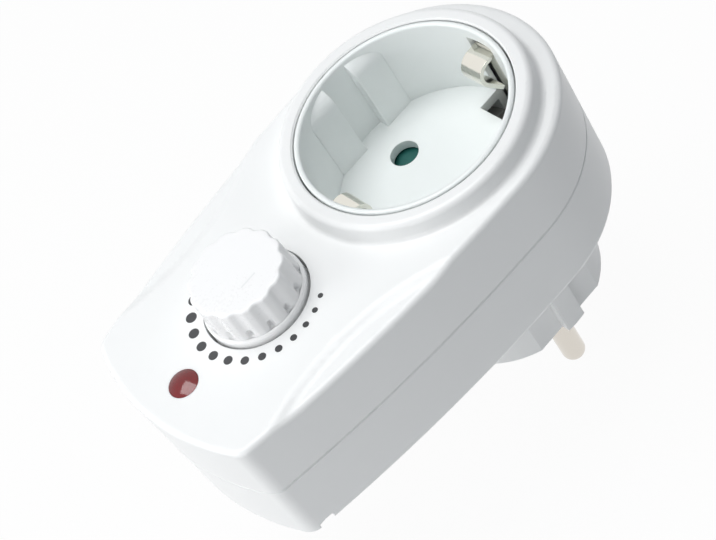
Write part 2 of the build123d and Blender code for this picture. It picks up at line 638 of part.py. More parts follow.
def contact_carrier():
    """Moulding under the well that holds the two socket contacts and the shutter's post."""
    plate_z = CARRIER_TOP_Z - CARRIER_PLATE
    carrier = rod(CARRIER_RADIUS, plate_z, CARRIER_TOP_Z)
    carrier += tube(CARRIER_RADIUS, CARRIER_RADIUS - CARRIER_WALL, INNER_BACK_Z, CARRIER_TOP_Z)
    tube_low_z = CARRIER_TOP_Z - CARRIER_TUBE_LENGTH
    for side in SIDES:
        carrier += rod(CARRIER_TUBE_RADIUS, tube_low_z, CARRIER_TOP_Z, side * PIN_X)
        carrier -= rod(CONTACT_RADIUS + CONTACT_FIT, tube_low_z - OVERRUN, CARRIER_TOP_Z + OVERRUN,
                       side * PIN_X)
        carrier -= rod(CONTACT_SEAT_RADIUS, CARRIER_TOP_Z - CONTACT_SINK - CONTACT_FLARE_THICKNESS,
                       CARRIER_TOP_Z + OVERRUN, side * PIN_X)
        carrier -= block(-SLOT_HALF_WIDTH, SLOT_HALF_WIDTH, side * (STRIP_BOSS_Y - CARRIER_NOTCH_INSET),
                         side * (CARRIER_RADIUS + OVERRUN), INNER_BACK_Z - OVERRUN, CARRIER_TOP_Z + OVERRUN)
    for inner, outer in ((-WIRE_X, -PIN_X), (WIRE_X, WIRE_X)):
        low, high = sorted((inner, outer))
        carrier -= block(low - WIRE_WINDOW_MARGIN, high + WIRE_WINDOW_MARGIN, -CARRIER_RADIUS - OVERRUN,
                         LIVE_WIRE_DROP_Y, INNER_BACK_Z - OVERRUN, INNER_BACK_Z + WIRE_WINDOW_HEIGHT)
    post_top_z = FLOOR_UNDER_Z - SHUTTER_RUNNING_FIT
    return carrier + rod(POST_RADIUS, plate_z, post_top_z)


def safety_shutter():
    """Two-bladed shutter that covers both pin holes and turns aside on its post."""
    low_z = CARRIER_TOP_Z + SHUTTER_LIFT
    high_z = low_z + SHUTTER_THICKNESS
    hub_radius = POST_RADIUS + SHUTTER_HUB_WALL
    shutter = rod(hub_radius, CARRIER_TOP_Z + SHUTTER_FOOT, high_z)
    edge = SHUTTER_RADIUS * math.tan(math.radians(BLADE_HALF_ANGLE))
    blade = make_face(Polyline((0, 0), (SHUTTER_RADIUS, edge), (SHUTTER_RADIUS, -edge), (0, 0)).edges())
    blade = slab(blade & Circle(SHUTTER_RADIUS), low_z, high_z)
    ramp_depth = SHUTTER_THICKNESS * RAMP_SHARE
    ramp = make_face(Polyline((0, high_z), (edge + OVERRUN, high_z), (edge + OVERRUN, high_z - ramp_depth),
                              (0, high_z)).edges())
    blade -= Pos(hub_radius, 0, 0) * extrude(Plane.YZ * ramp, SHUTTER_RADIUS)
    shutter += blade
    shutter += Rot(0, 0, 180) * blade
    shutter -= rod(POST_RADIUS + SHUTTER_RUNNING_FIT, CARRIER_TOP_Z, high_z + OVERRUN)
    return shutter - rod(SPRING_OUTER_RADIUS + SPRING_POCKET_GAP, CARRIER_TOP_Z,
                         CARRIER_TOP_Z + SHUTTER_FOOT + SPRING_POCKET_DEPTH)


def shutter_spring():
    """Return spring of the shutter, a close coil around its post, as one plain sleeve."""
    return tube(SPRING_OUTER_RADIUS, SPRING_INNER_RADIUS, CARRIER_TOP_Z, CARRIER_TOP_Z + SPRING_HEIGHT)


def contact_low_z():
    """Underside of a socket contact's base."""
    return CARRIER_TOP_Z - CONTACT_SINK - CONTACT_LENGTH


def socket_contact(side):
    """Slit brass sleeve that grips one pin of the lamp's plug, with a soldering tab."""
    low_z = contact_low_z()
    top_z = low_z + CONTACT_LENGTH
    x = side * PIN_X
    contact = rod(CONTACT_RADIUS, low_z, top_z, x)
    contact += rod(CONTACT_FLARE_RADIUS, top_z - CONTACT_FLARE_THICKNESS, top_z, x)
    contact -= rod(CONTACT_BORE_RADIUS, low_z + CONTACT_BASE, top_z + OVERRUN, x)
    for angle in (45, 135):
        slit = Box(2 * CONTACT_FLARE_RADIUS + OVERRUN, CONTACT_SLIT, CONTACT_SLIT_DEPTH + OVERRUN, align=BASE)
        contact -= Pos(x, 0, top_z - CONTACT_SLIT_DEPTH) * Rot(0, 0, angle) * slit
    return contact + block(x, x - side * TAB_REACH, -TAB_HALF_WIDTH, TAB_HALF_WIDTH,
                           low_z, low_z + CONTACT_BASE)


def plug_pin(side, tail_top_z):
    """Round plug pin with a domed tip, a flange inside the boss and a tail."""
    x = side * PIN_X
    flange_z = BOSS_END_THICKNESS
    tip_z = PIN_RADIUS - PIN_LENGTH
    pin = rod(PIN_RADIUS, tip_z, 0, x) + Pos(x, 0, tip_z) * Sphere(PIN_RADIUS)
    pin += rod(PIN_SHOULDER_RADIUS, 0, flange_z, x)
    pin += rod(PIN_RADIUS + PIN_FLANGE_STEP, flange_z, flange_z + PIN_FLANGE_THICKNESS, x)
    return pin + rod(PIN_TAIL_RADIUS, flange_z, tail_top_z, x)


def earth_contact(side):
    """Sprung earth strip, from its hook in the well down to its channel in the boss."""
    hook_z = RIM_Z - HOOK_TOP_DROP
    jog_z = INNER_BACK_Z
    route = [(STRIP_BOSS_Y, STRIP_END_Z), (STRIP_BOSS_Y, jog_z), (STRIP_CUP_Y, jog_z + STRIP_JOG_RISE),
             (STRIP_CUP_Y, hook_z), (WELL_RADIUS - HOOK_REACH, hook_z),
             (WELL_RADIUS - HOOK_LEG_INSET, hook_z - HOOK_LEG_DROP)]
    points = [(0, side * y, z) for y, z in route]
    radii = [STRIP_JOG_RADIUS, STRIP_JOG_RADIUS, HOOK_SHOULDER_RADIUS, HOOK_RADIUS]
    path = FilletPolyline(*points, radius=radii)
    start = Plane(origin=path @ 0, x_dir=(1, 0, 0), z_dir=path % 0)
    return sweep(start * Rectangle(STRIP_WIDTH, STRIP_THICKNESS), path=path)


def earth_bridge():
    """Flat strap that joins the two earth contacts."""
    reach = STRIP_BOSS_Y - STRIP_THICKNESS / 2
    low_z = INNER_BACK_Z - STRIP_THICKNESS - BRIDGE_LIFT
    return block(-STRIP_WIDTH / 2, STRIP_WIDTH / 2, -reach, reach, low_z, low_z + STRIP_THICKNESS)


def control_knob():
    """Fluted knob with a round skirt, hollow behind, with a hub on the D-shaped shaft."""
    bottom_z = FACE_Z - KNOB_WELL_DEPTH + KNOB_FLOAT
    skirt_z = FACE_Z + SKIRT_RISE
    top_z = FACE_Z + KNOB_HEIGHT
    skirt = rod(SKIRT_RADIUS, bottom_z, skirt_z)
    skirt = fillet(skirt.edges().group_by(Axis.Z)[-1], SKIRT_EDGE_RADIUS)
    grip = Pos(0, 0, skirt_z - SKIRT_RISE) * Cone(
        GRIP_BASE_RADIUS, GRIP_TOP_RADIUS, top_z - skirt_z + SKIRT_RISE, align=BASE)
    grip = fillet(grip.edges().group_by(Axis.Z)[-1], GRIP_EDGE_RADIUS)
    lean = math.degrees(math.atan2(GRIP_BASE_RADIUS - GRIP_TOP_RADIUS, top_z - skirt_z))
    flute = Pos(GRIP_BASE_RADIUS - FLUTE_DEPTH + FLUTE_RADIUS, 0, skirt_z) * Rot(0, -lean, 0) * Cylinder(
        FLUTE_RADIUS, top_z - skirt_z + OVERRUN, align=BASE)
    turns = [RIDGE_ANGLE + (index + 1 / 2) * 360 / RIDGE_COUNT for index in range(RIDGE_COUNT)]
    for turn in turns:
        grip -= Rot(0, 0, turn) * flute
    knob = skirt + grip
    scoop = Pos(GRIP_BASE_RADIUS - SCOOP_INSET, 0, skirt_z + SCOOP_LIFT) * Sphere(SCOOP_RADIUS)
    for turn in turns:
        knob -= Rot(0, 0, turn) * scoop
    knob -= rod(GRIP_TOP_RADIUS - KNOB_SHELL, bottom_z - OVERRUN, top_z - KNOB_CROWN)
    knob += rod(SHAFT_RADIUS + HUB_WALL, bottom_z + HUB_FLOAT, top_z - KNOB_CROWN)
    knob = Pos(0, KNOB_Y, 0) * knob
    return knob - shaft_end(BORE_FIT, bottom_z)


def shaft_end(growth, low_z):
    """D-shaped upper end of the shaft, or the bore for it when grown by a fit."""
    end_z = FACE_Z + KNOB_HEIGHT - KNOB_CROWN
    shaft = rod(SHAFT_RADIUS + growth, low_z, end_z + growth, y=KNOB_Y)
    flat_y = KNOB_Y + SHAFT_FLAT + growth
    return shaft - block(-2 * SHAFT_RADIUS, 2 * SHAFT_RADIUS, flat_y, flat_y + 2 * SHAFT_RADIUS,
                         low_z - OVERRUN, end_z + 2 * OVERRUN)


def potentiometer_shaft():
    """Turning shaft, round in its bushing and D-shaped above it."""
    floor_z = BOARD_TOP_Z + POT_WALL
    flat_low_z = BOARD_TOP_Z + POT_HEIGHT + BUSHING_RISE
    shaft = rod(SHAFT_FOOT_RADIUS, floor_z + TRACK_THICKNESS, floor_z + POT_HEIGHT / 2, y=KNOB_Y)
    shaft += rod(SHAFT_RADIUS, floor_z + POT_HEIGHT / 2, flat_low_z, y=KNOB_Y)
    return shaft + shaft_end(0, flat_low_z)


def potentiometer_wiper():
    """Spring wiper arm that turns with the shaft over the track."""
    low_z = BOARD_TOP_Z + POT_WALL + TRACK_THICKNESS + WIPER_CLEARANCE
    wiper = rod(SHAFT_FOOT_RADIUS + WIPER_HUB_WALL, low_z, low_z + WIPER_THICKNESS, y=KNOB_Y)
    wiper += block(0, TRACK_RADIUS, KNOB_Y - WIPER_WIDTH / 2, KNOB_Y + WIPER_WIDTH / 2,
                   low_z, low_z + WIPER_THICKNESS)
    return wiper - rod(SHAFT_FOOT_RADIUS, low_z - OVERRUN, low_z + OVERRUN, y=KNOB_Y)


def potentiometer_track():
    """Resistive track: an open ring on the floor of the potentiometer."""
    low_z = BOARD_TOP_Z + POT_WALL
    outer = TRACK_RADIUS + TRACK_WIDTH / 2 - WIPER_CLEARANCE
    inner = TRACK_RADIUS - TRACK_WIDTH / 2
    track = tube(outer, inner, low_z, low_z + TRACK_THICKNESS, y=KNOB_Y)
    reach = 2 * TRACK_RADIUS * math.sin(math.radians(TRACK_GAP_ANGLE / 2))
    return track - block(-reach / 2, reach / 2, KNOB_Y, KNOB_Y + 2 * TRACK_RADIUS, low_z - OVERRUN,
                         low_z + OVERRUN)


def potentiometer_body():
    """Round case of the potentiometer."""
    top_z = BOARD_TOP_Z + POT_HEIGHT
    body = rod(POT_RADIUS, BOARD_TOP_Z, top_z, y=KNOB_Y)
    body -= rod(POT_RADIUS - POT_WALL, BOARD_TOP_Z + POT_WALL, top_z - POT_WALL, y=KNOB_Y)
    return body - rod(SHAFT_RADIUS + SHAFT_RUNNING_FIT, top_z - 2 * POT_WALL, top_z + OVERRUN, y=KNOB_Y)


def potentiometer_bushing():
    """Bushing that guides the shaft through the floor of the knob well."""
    low_z = BOARD_TOP_Z + POT_HEIGHT
    return tube(BUSHING_RADIUS, SHAFT_RADIUS + SHAFT_RUNNING_FIT, low_z, low_z + BUSHING_RISE, y=KNOB_Y)


def circuit_board():
    """Board with cut-outs for the housing posts and holes for its screws."""
    middle_y = (BOARD_LOW_Y + BOARD_HIGH_Y) / 2
    panel = Pos(0, middle_y) * Rectangle(2 * board_half_width(), BOARD_HIGH_Y - BOARD_LOW_Y)
    board = slab(panel, BOARD_Z, BOARD_TOP_Z)
    board = chamfer(board.edges().filter_by(Axis.Z).group_by(Axis.Y)[0], BOARD_CORNER)
    for x, y in posts():
        board -= rod(REAR_POST_RADIUS + POST_GAP, BOARD_Z - OVERRUN, BOARD_TOP_Z + OVERRUN, x, y)
    for x, y in board_screw_places():
        board -= rod(BOARD_SCREW_RADIUS + SCREW_FIT, BOARD_Z - OVERRUN, BOARD_TOP_Z + OVERRUN, x, y)
    return board


def indicator_lens():
    """Domed lens with a stem through the face and a flange behind it."""
    cap_radius = (LENS_RADIUS**2 + LENS_DOME**2) / (2 * LENS_DOME)
    dome = Pos(LAMP_X, LAMP_Y, FACE_Z + LENS_DOME - cap_radius) * Sphere(cap_radius)
    lens = dome & rod(LENS_RADIUS, FACE_Z, FACE_Z + LENS_DOME + OVERRUN, LAMP_X, LAMP_Y)
    lens += rod(LENS_RADIUS, INNER_FACE_Z - LENS_FLANGE, FACE_Z, LAMP_X, LAMP_Y)
    lens += rod(LENS_RADIUS + LENS_FLANGE_REACH, INNER_FACE_Z - LENS_FLANGE, INNER_FACE_Z, LAMP_X, LAMP_Y)
    return lens - rod(LENS_RADIUS - LENS_SHELL, INNER_FACE_Z - LENS_FLANGE - OVERRUN, FACE_Z, LAMP_X, LAMP_Y)


def lamp_top_z():
    """Tip of the glow lamp, inside the lens."""
    return INNER_FACE_Z - LENS_FLANGE + LAMP_TOP_GAP


def indicator_lamp():
    """Glass bulb of the glow lamp."""
    shoulder_z = lamp_top_z() - LAMP_RADIUS
    bulb = rod(LAMP_RADIUS, lamp_top_z() - LAMP_LENGTH, shoulder_z, LAMP_X, LAMP_Y)
    return bulb + Pos(LAMP_X, LAMP_Y, shoulder_z) * Sphere(LAMP_RADIUS)


def lamp_leads():
    """Two wire leads from the lamp down to the board."""
    high_z = lamp_top_z() - LAMP_LENGTH
    return [rod(LEAD_RADIUS, BOARD_TOP_Z, high_z, LAMP_X + side * LEAD_OFFSET, LAMP_Y) for side in SIDES]


def choke_ring(radius):
    """Standing ring of the choke with a given section radius."""
    height = BOARD_TOP_Z + CHOKE_MAJOR_RADIUS + CHOKE_WINDING_RADIUS
    x = -KNOB_WELL_RADIUS - KNOB_WELL_WALL - CHOKE_GAP - CHOKE_WINDING_RADIUS
    return Pos(x, KNOB_Y + CHOKE_SHIFT, height) * Rot(0, 90, 0) * Torus(CHOKE_MAJOR_RADIUS, radius)


def upright_box(length, width, height, x, y):
    """Boxed component standing on the board."""
    return Pos(x, y, BOARD_TOP_Z) * Box(length, width, height, align=BASE)


def resistors():
    """Three resistors lying on the board."""
    places = [(-RESISTOR_X, RESISTOR_LOW_Y), (RESISTOR_X, RESISTOR_LOW_Y),
              (TIMING_CAP_X - RESISTOR_SHIFT, RESISTOR_HIGH_Y)]
    return [lying_rod(RESISTOR_RADIUS, RESISTOR_LENGTH, x, y, BOARD_TOP_Z + RESISTOR_RADIUS)
            for x, y in places]


def heat_sink():
    """Upright aluminium plate behind the triac."""
    low_y = KNOB_Y + HEAT_SINK_SHIFT - HEAT_SINK_LENGTH / 2
    return block(HEAT_SINK_X, HEAT_SINK_X + HEAT_SINK_THICKNESS, low_y, low_y + HEAT_SINK_LENGTH,
                 BOARD_TOP_Z, BOARD_TOP_Z + HEAT_SINK_HEIGHT)


def triac_tab():
    """Metal tab of the triac, flat against the heat sink."""
    low_z = BOARD_TOP_Z + TRIAC_LIFT
    tab = block(HEAT_SINK_X - TRIAC_TAB_THICKNESS, HEAT_SINK_X, KNOB_Y - TRIAC_WIDTH / 2,
                KNOB_Y + TRIAC_WIDTH / 2, low_z, low_z + TRIAC_TAB_HEIGHT)
    return tab - lying_rod(TRIAC_TAB_HOLE_RADIUS, 2 * HEAT_SINK_X, 0, KNOB_Y,
                           low_z + TRIAC_TAB_HEIGHT - TRIAC_TAB_HOLE_DROP)


def triac_package():
    """Moulded body of the triac, with its three legs down to the board."""
    back_x = HEAT_SINK_X - TRIAC_TAB_THICKNESS
    low_z = BOARD_TOP_Z + TRIAC_LIFT
    package = block(back_x - TRIAC_BODY_DEPTH, back_x, KNOB_Y - TRIAC_WIDTH / 2, KNOB_Y + TRIAC_WIDTH / 2,
                    low_z, low_z + TRIAC_BODY_HEIGHT)
    for step in (-1, 0, 1):
        package += rod(LEAD_RADIUS, BOARD_TOP_Z, low_z + LEAD_RADIUS, back_x - TRIAC_BODY_DEPTH / 2,
                       KNOB_Y + step * TRIAC_WIDTH / 4)
    return package


def fuse_z():
    """Height of the fuse's axis."""
    return BOARD_TOP_Z + CLIP_RADIUS + FUSE_FOOT


def fuse_tube():
    """Glass tube of the fuse, between its end caps."""
    return lying_rod(FUSE_RADIUS, FUSE_LENGTH - 2 * FUSE_CAP_END, 0, FUSE_Y, fuse_z())


def fuse_caps():
    """Metal cap on each end of the fuse."""
    caps = []
    for side in SIDES:
        centre_x = side * (FUSE_LENGTH - FUSE_CAP_LENGTH) / 2
        cap = lying_rod(FUSE_CAP_RADIUS, FUSE_CAP_LENGTH, centre_x, FUSE_Y, fuse_z())
        caps.append(cap - fuse_tube())
    return caps


def fuse_clips():
    """Sprung clip under each end of the fuse."""
    clips = []
    for side in SIDES:
        centre_x = side * (FUSE_LENGTH - FUSE_CAP_LENGTH) / 2
        clip = lying_rod(CLIP_RADIUS, CLIP_WIDTH, centre_x, FUSE_Y, fuse_z())
        clip += block(centre_x - CLIP_WIDTH / 2, centre_x + CLIP_WIDTH / 2, FUSE_Y - FUSE_RADIUS,
                      FUSE_Y + FUSE_RADIUS, BOARD_TOP_Z, fuse_z())
        clip -= lying_rod(FUSE_CAP_RADIUS, 2 * CLIP_WIDTH, centre_x, FUSE_Y, fuse_z())
        clip -= block(centre_x - CLIP_WIDTH, centre_x + CLIP_WIDTH, FUSE_Y - FUSE_RADIUS / 2,
                      FUSE_Y + FUSE_RADIUS / 2, fuse_z(), fuse_z() + 2 * FUSE_CAP_RADIUS)
        clips.append(clip)
    return clips


def wire(start, drop_y):
    """Insulated wire: out of a contact, up out of the boss and along to the board."""
    x, y, z = start
    run_z = INNER_BACK_Z + WIRE_RUN_LIFT
    points = [(x, y, z), (x, drop_y, z), (x, drop_y, run_z),
              (x, WIRE_RISE_Y, run_z), (x, WIRE_RISE_Y, BOARD_Z)]
    path = FilletPolyline(*points, radius=[WIRE_BEND] * 3)
    return sweep(Plane(origin=path @ 0, z_dir=path % 0) * Circle(WIRE_RADIUS), path=path)


def screw(head_radius, head_height, radius, length, x, y, seat_z, up):
    """Cross-head screw with its head seated at a height; up is the way its shank points."""
    head = Cylinder(head_radius, head_height, align=(Align.CENTER, Align.CENTER, Align.MAX))
    head = chamfer(head.edges().group_by(Axis.Z)[0], head_height / 4)
    shank = Cylinder(radius, length, align=BASE)
    solid = head + shank
    for angle in (0, 90):
        arm = Box(2 * DRIVER_RECESS_RADIUS, DRIVER_RECESS_WIDTH, DRIVER_RECESS_DEPTH, align=BASE)
        solid -= Pos(0, 0, -head_height) * Rot(0, 0, angle) * arm
    turn = Rot(0, 0, 0) if up > 0 else Rot(180, 0, 0)
    return Pos(x, y, seat_z) * turn * solid


def housing_screws():
    """Four screws that close the shells from behind."""
    return [screw(SCREW_HEAD_RADIUS, SCREW_HEAD_HEIGHT, SCREW_RADIUS, SCREW_LENGTH, x, y,
                  BACK_Z + SCREW_SEAT, 1) for x, y in posts()]


def board_screws():
    """Two screws that hold the board on its posts."""
    return [screw(BOARD_SCREW_HEAD_RADIUS, BOARD_SCREW_HEAD, BOARD_SCREW_RADIUS, BOARD_SCREW_LENGTH, x, y,
                  BOARD_TOP_Z, -1) for x, y in board_screw_places()]


def build_parts():
    """Every node of the dimmer by name."""
    low_z = contact_low_z()
    live_tail_z = BOSS_END_THICKNESS + PIN_FLANGE_THICKNESS + LIVE_TAIL_LENGTH
    tab_z = low_z + CONTACT_BASE / 2
    return {
        "front_housing": front_housing(),
        "rear_housing": rear_housing(),
        "socket_insert": socket_insert(),
        "contact_carrier": contact_carrier(),
        "safety_shutter": safety_shutter(),
        "shutter_spring": shutter_spring(),
        "socket_contact_live": socket_contact(-1),
        "socket_contact_neutral": socket_contact(1),
        "plug_pin_live": plug_pin(-1, live_tail_z),
        "plug_pin_neutral": plug_pin(1, low_z),
        "earth_contact_far": earth_contact(1),
        "earth_contact_near": earth_contact(-1),
        "earth_bridge": earth_bridge(),
        "control_knob": control_knob(),
        "potentiometer_shaft": potentiometer_shaft(),
        "potentiometer_wiper": potentiometer_wiper(),
        "potentiometer_track": potentiometer_track(),
        "potentiometer_body": potentiometer_body(),
        "potentiometer_bushing": potentiometer_bushing(),
        "circuit_board": circuit_board(),
        "indicator_lens": indicator_lens(),
        "indicator_lamp": indicator_lamp(),
        "lamp_leads": lamp_leads(),
        "choke_core": choke_ring(CHOKE_CORE_RADIUS),
        "choke_winding": choke_ring(CHOKE_WINDING_RADIUS) - choke_ring(CHOKE_CORE_RADIUS),
        "film_capacitor": upright_box(FILM_CAP_LENGTH, FILM_CAP_WIDTH, FILM_CAP_HEIGHT, FILM_CAP_X,
                                      FILM_CAP_Y),
        "timing_capacitor": upright_box(TIMING_CAP_LENGTH, TIMING_CAP_WIDTH, TIMING_CAP_HEIGHT,
                                        TIMING_CAP_X, TIMING_CAP_Y),
        "diac": lying_rod(DIAC_RADIUS, DIAC_LENGTH, DIAC_X, KNOB_Y + POT_RADIUS + DIAC_GAP + DIAC_RADIUS,
                          BOARD_TOP_Z + DIAC_RADIUS),
        "resistors": resistors(),
        "heat_sink": heat_sink(),
        "triac_tab": triac_tab(),
        "triac_package": triac_package(),
        "fuse_tube": fuse_tube(),
        "fuse_caps": fuse_caps(),
        "fuse_clips": fuse_clips(),
        "live_pin_wire": wire((-PIN_X, -PIN_TAIL_RADIUS, live_tail_z - WIRE_RADIUS), LIVE_WIRE_DROP_Y),
        "live_contact_wire": wire((-WIRE_X, -TAB_HALF_WIDTH, tab_z), CONTACT_WIRE_DROP_Y),
        "neutral_wire": wire((WIRE_X, -TAB_HALF_WIDTH, tab_z), CONTACT_WIRE_DROP_Y),
        "housing_screws": housing_screws(),
        "board_screws": board_screws(),
    }


def main():
    """Write one STEP file per node."""
    os.makedirs("parts", exist_ok=True)
    for name, shape in build_parts().items():
        solids = shape if isinstance(shape, list) else [shape]
        group = Compound(label=name, children=solids) if len(solids) > 1 else solids[0]
        group.label = name
        export_step(group, f"parts/{name}.step")
        print(f"{name}: {sum(s.volume for s in solids):.1f} mm3")


if __name__ == "__main__":
    main()
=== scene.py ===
"""Dressed model of a plug-in lamp dimmer.

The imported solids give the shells, the socket, the pins and the works. This script dresses
them, shapes the fluted knob, prints the scale around it and sets up a plain white studio.
Lengths in the size classes are millimetres; every mesh is built in metres.
"""

import logging
import math
from dataclasses import dataclass
from enum import Enum
from typing import Iterable, Union

import bmesh
import bpy
from mathutils import Matrix, Vector


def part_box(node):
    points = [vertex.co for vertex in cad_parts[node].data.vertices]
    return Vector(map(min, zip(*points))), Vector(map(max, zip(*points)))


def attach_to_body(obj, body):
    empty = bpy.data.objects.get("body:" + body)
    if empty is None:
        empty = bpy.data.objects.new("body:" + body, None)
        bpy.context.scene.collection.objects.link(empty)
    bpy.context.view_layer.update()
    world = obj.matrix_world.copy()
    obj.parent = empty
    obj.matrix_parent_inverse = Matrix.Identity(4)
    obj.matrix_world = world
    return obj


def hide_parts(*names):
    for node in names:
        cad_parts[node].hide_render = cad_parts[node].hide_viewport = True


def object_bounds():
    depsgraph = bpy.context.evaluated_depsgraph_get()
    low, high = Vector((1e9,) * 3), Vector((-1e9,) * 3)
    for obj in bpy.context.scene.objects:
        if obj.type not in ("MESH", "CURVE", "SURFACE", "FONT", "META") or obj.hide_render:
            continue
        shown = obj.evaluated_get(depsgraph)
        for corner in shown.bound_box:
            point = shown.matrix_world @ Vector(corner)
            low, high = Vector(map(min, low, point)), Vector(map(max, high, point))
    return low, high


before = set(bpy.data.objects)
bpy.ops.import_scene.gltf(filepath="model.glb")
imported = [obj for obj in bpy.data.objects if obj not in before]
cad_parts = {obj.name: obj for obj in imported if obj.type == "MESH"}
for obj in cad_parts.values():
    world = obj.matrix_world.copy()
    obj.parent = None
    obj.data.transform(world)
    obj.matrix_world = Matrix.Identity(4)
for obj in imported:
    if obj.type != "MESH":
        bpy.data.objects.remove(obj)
CAD_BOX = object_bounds()

log = logging.getLogger("dimmer")
MM = 0.001
Number = Union[float, "Signal"]
Colour = tuple[float, float, float]
Place = tuple[float, float, float]
ProfilePoint = tuple[float, float]

# Height of the socket's collar over the face, in millimetres
COLLAR_HEIGHT = 3.8

# Grain, coat and edge values that all finishes share
CLOUD_PER_GRAIN = 60
CLOUD_DETAIL = 2.0
GRAIN_DETAIL = 3.0
NOISE_ROUGHNESS = 0.55
COAT_ROUGHNESS = 0.12
SCATTER_SHARES = (0.6, 0.6, 0.6)
ROUNDING_SAMPLES = 6

# Sockets of the colour mix node
MIX_SHARE = 0
MIX_FIRST = 6
MIX_SECOND = 7
MIX_RESULT = 2

WHITE = (1.0, 1.0, 1.0)


class Body(Enum):
    """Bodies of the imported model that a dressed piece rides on."""

    BASE = "base"
    KNOB = "knob"


class NodeGraph:
    """A node tree that is filled from Python, for a material or a modifier."""

    def __init__(self, tree: bpy.types.NodeTree) -> None:
        """Start with the tree's nodes cleared."""
        self.tree = tree
        tree.nodes.clear()

    def add(self, kind: str, settings: dict | None = None,
            values: dict | None = None) -> bpy.types.Node:
        """Add one node.

        Args:
            kind: the node's type.
            settings: properties that are set before any socket.
            values: socket values or links, by socket name or index.

        Returns:
            The new node.
        """
        node = self.tree.nodes.new(kind)
        for name, value in (settings or {}).items():
            setattr(node, name, value)
        for key, value in (values or {}).items():
            self.feed(node.inputs[key], value)
        return node

    def feed(self, socket: bpy.types.NodeSocket, value: object) -> None:
        """Set a socket's value, or link a signal or an output to it.

        Args:
            socket: the input that is fed.
            value: a plain value, a signal or another node's output.
        """
        if isinstance(value, Signal):
            value = value.socket
        if isinstance(value, bpy.types.NodeSocket):
            self.tree.links.new(value, socket)
        else:
            socket.default_value = value

    def signal(self, kind: str, output: str | int = 0, settings: dict | None = None,
               values: dict | None = None) -> "Signal":
        """Add one node and wrap one of its outputs.

        Args:
            kind: the node's type.
            output: name or index of the output that is wrapped.
            settings: properties that are set before any socket.
            values: socket values or links, by socket name or index.

        Returns:
            The output as a signal.
        """
        return Signal(self, self.add(kind, settings, values).outputs[output])

    def maths(self, operation: str, *values: Number) -> "Signal":
        """Add one Math node."""
        return self.signal("ShaderNodeMath", 0, {"operation": operation}, dict(enumerate(values)))

    def smooth(self, value: Number, low: Number, high: Number) -> "Signal":
        """Smooth step from 0 at low to 1 at high."""
        return self.signal("ShaderNodeMapRange", 0, {"interpolation_type": "SMOOTHSTEP"},
                           {"Value": value, "From Min": low, "From Max": high})

    def mix(self, share: Number, first: object, second: object) -> "Signal":
        """Mix two colours."""
        return self.signal("ShaderNodeMix", MIX_RESULT, {"data_type": "RGBA"},
                           {MIX_SHARE: share, MIX_FIRST: first, MIX_SECOND: second})

    def seen_directly(self) -> "Signal":
        """Tell the rays that should meet plain white from those that light the object.

        Returns:
            1 on rays from the camera, a mirror or clear plastic, and 0 on all others.
        """
        path = self.add("ShaderNodeLightPath")
        camera, glossy, clear = [
            Signal(self, path.outputs[name])
            for name in ("Is Camera Ray", "Is Glossy Ray", "Is Transmission Ray")]
        return self.maths("MINIMUM", camera + glossy + clear, 1.0)


class Signal:
    """A socket's number, with arithmetic that adds Math nodes."""

    def __init__(self, graph: NodeGraph, socket: bpy.types.NodeSocket) -> None:
        """Wrap one output socket."""
        self.graph = graph
        self.socket = socket

    def __add__(self, other: Number) -> "Signal":
        """self + other."""
        return self.graph.maths("ADD", self, other)

    def __sub__(self, other: Number) -> "Signal":
        """self - other."""
        return self.graph.maths("SUBTRACT", self, other)

    def __rsub__(self, other: Number) -> "Signal":
        """other - self."""
        return self.graph.maths("SUBTRACT", other, self)

    def __mul__(self, other: Number) -> "Signal":
        """self * other."""
        return self.graph.maths("MULTIPLY", self, other)

    def __truediv__(self, other: Number) -> "Signal":
        """self / other."""
        return self.graph.maths("DIVIDE", self, other)

    def __pow__(self, other: Number) -> "Signal":
        """self ** other."""
        return self.graph.maths("POWER", self, other)

    __radd__ = __add__
    __rmul__ = __mul__


def rgba(colour: Colour) -> tuple[float, float, float, float]:
    """A colour with full alpha."""
    return (*colour, 1.0)


def material_graph(name: str) -> tuple[bpy.types.Material, NodeGraph]:
    """Make a material that is filled from Python.

    Args:
        name: the material's name.

    Returns:
        The material and its emptied node graph.
    """
    material = bpy.data.materials.new(name)
    material.use_nodes = True
    return material, NodeGraph(material.node_tree)


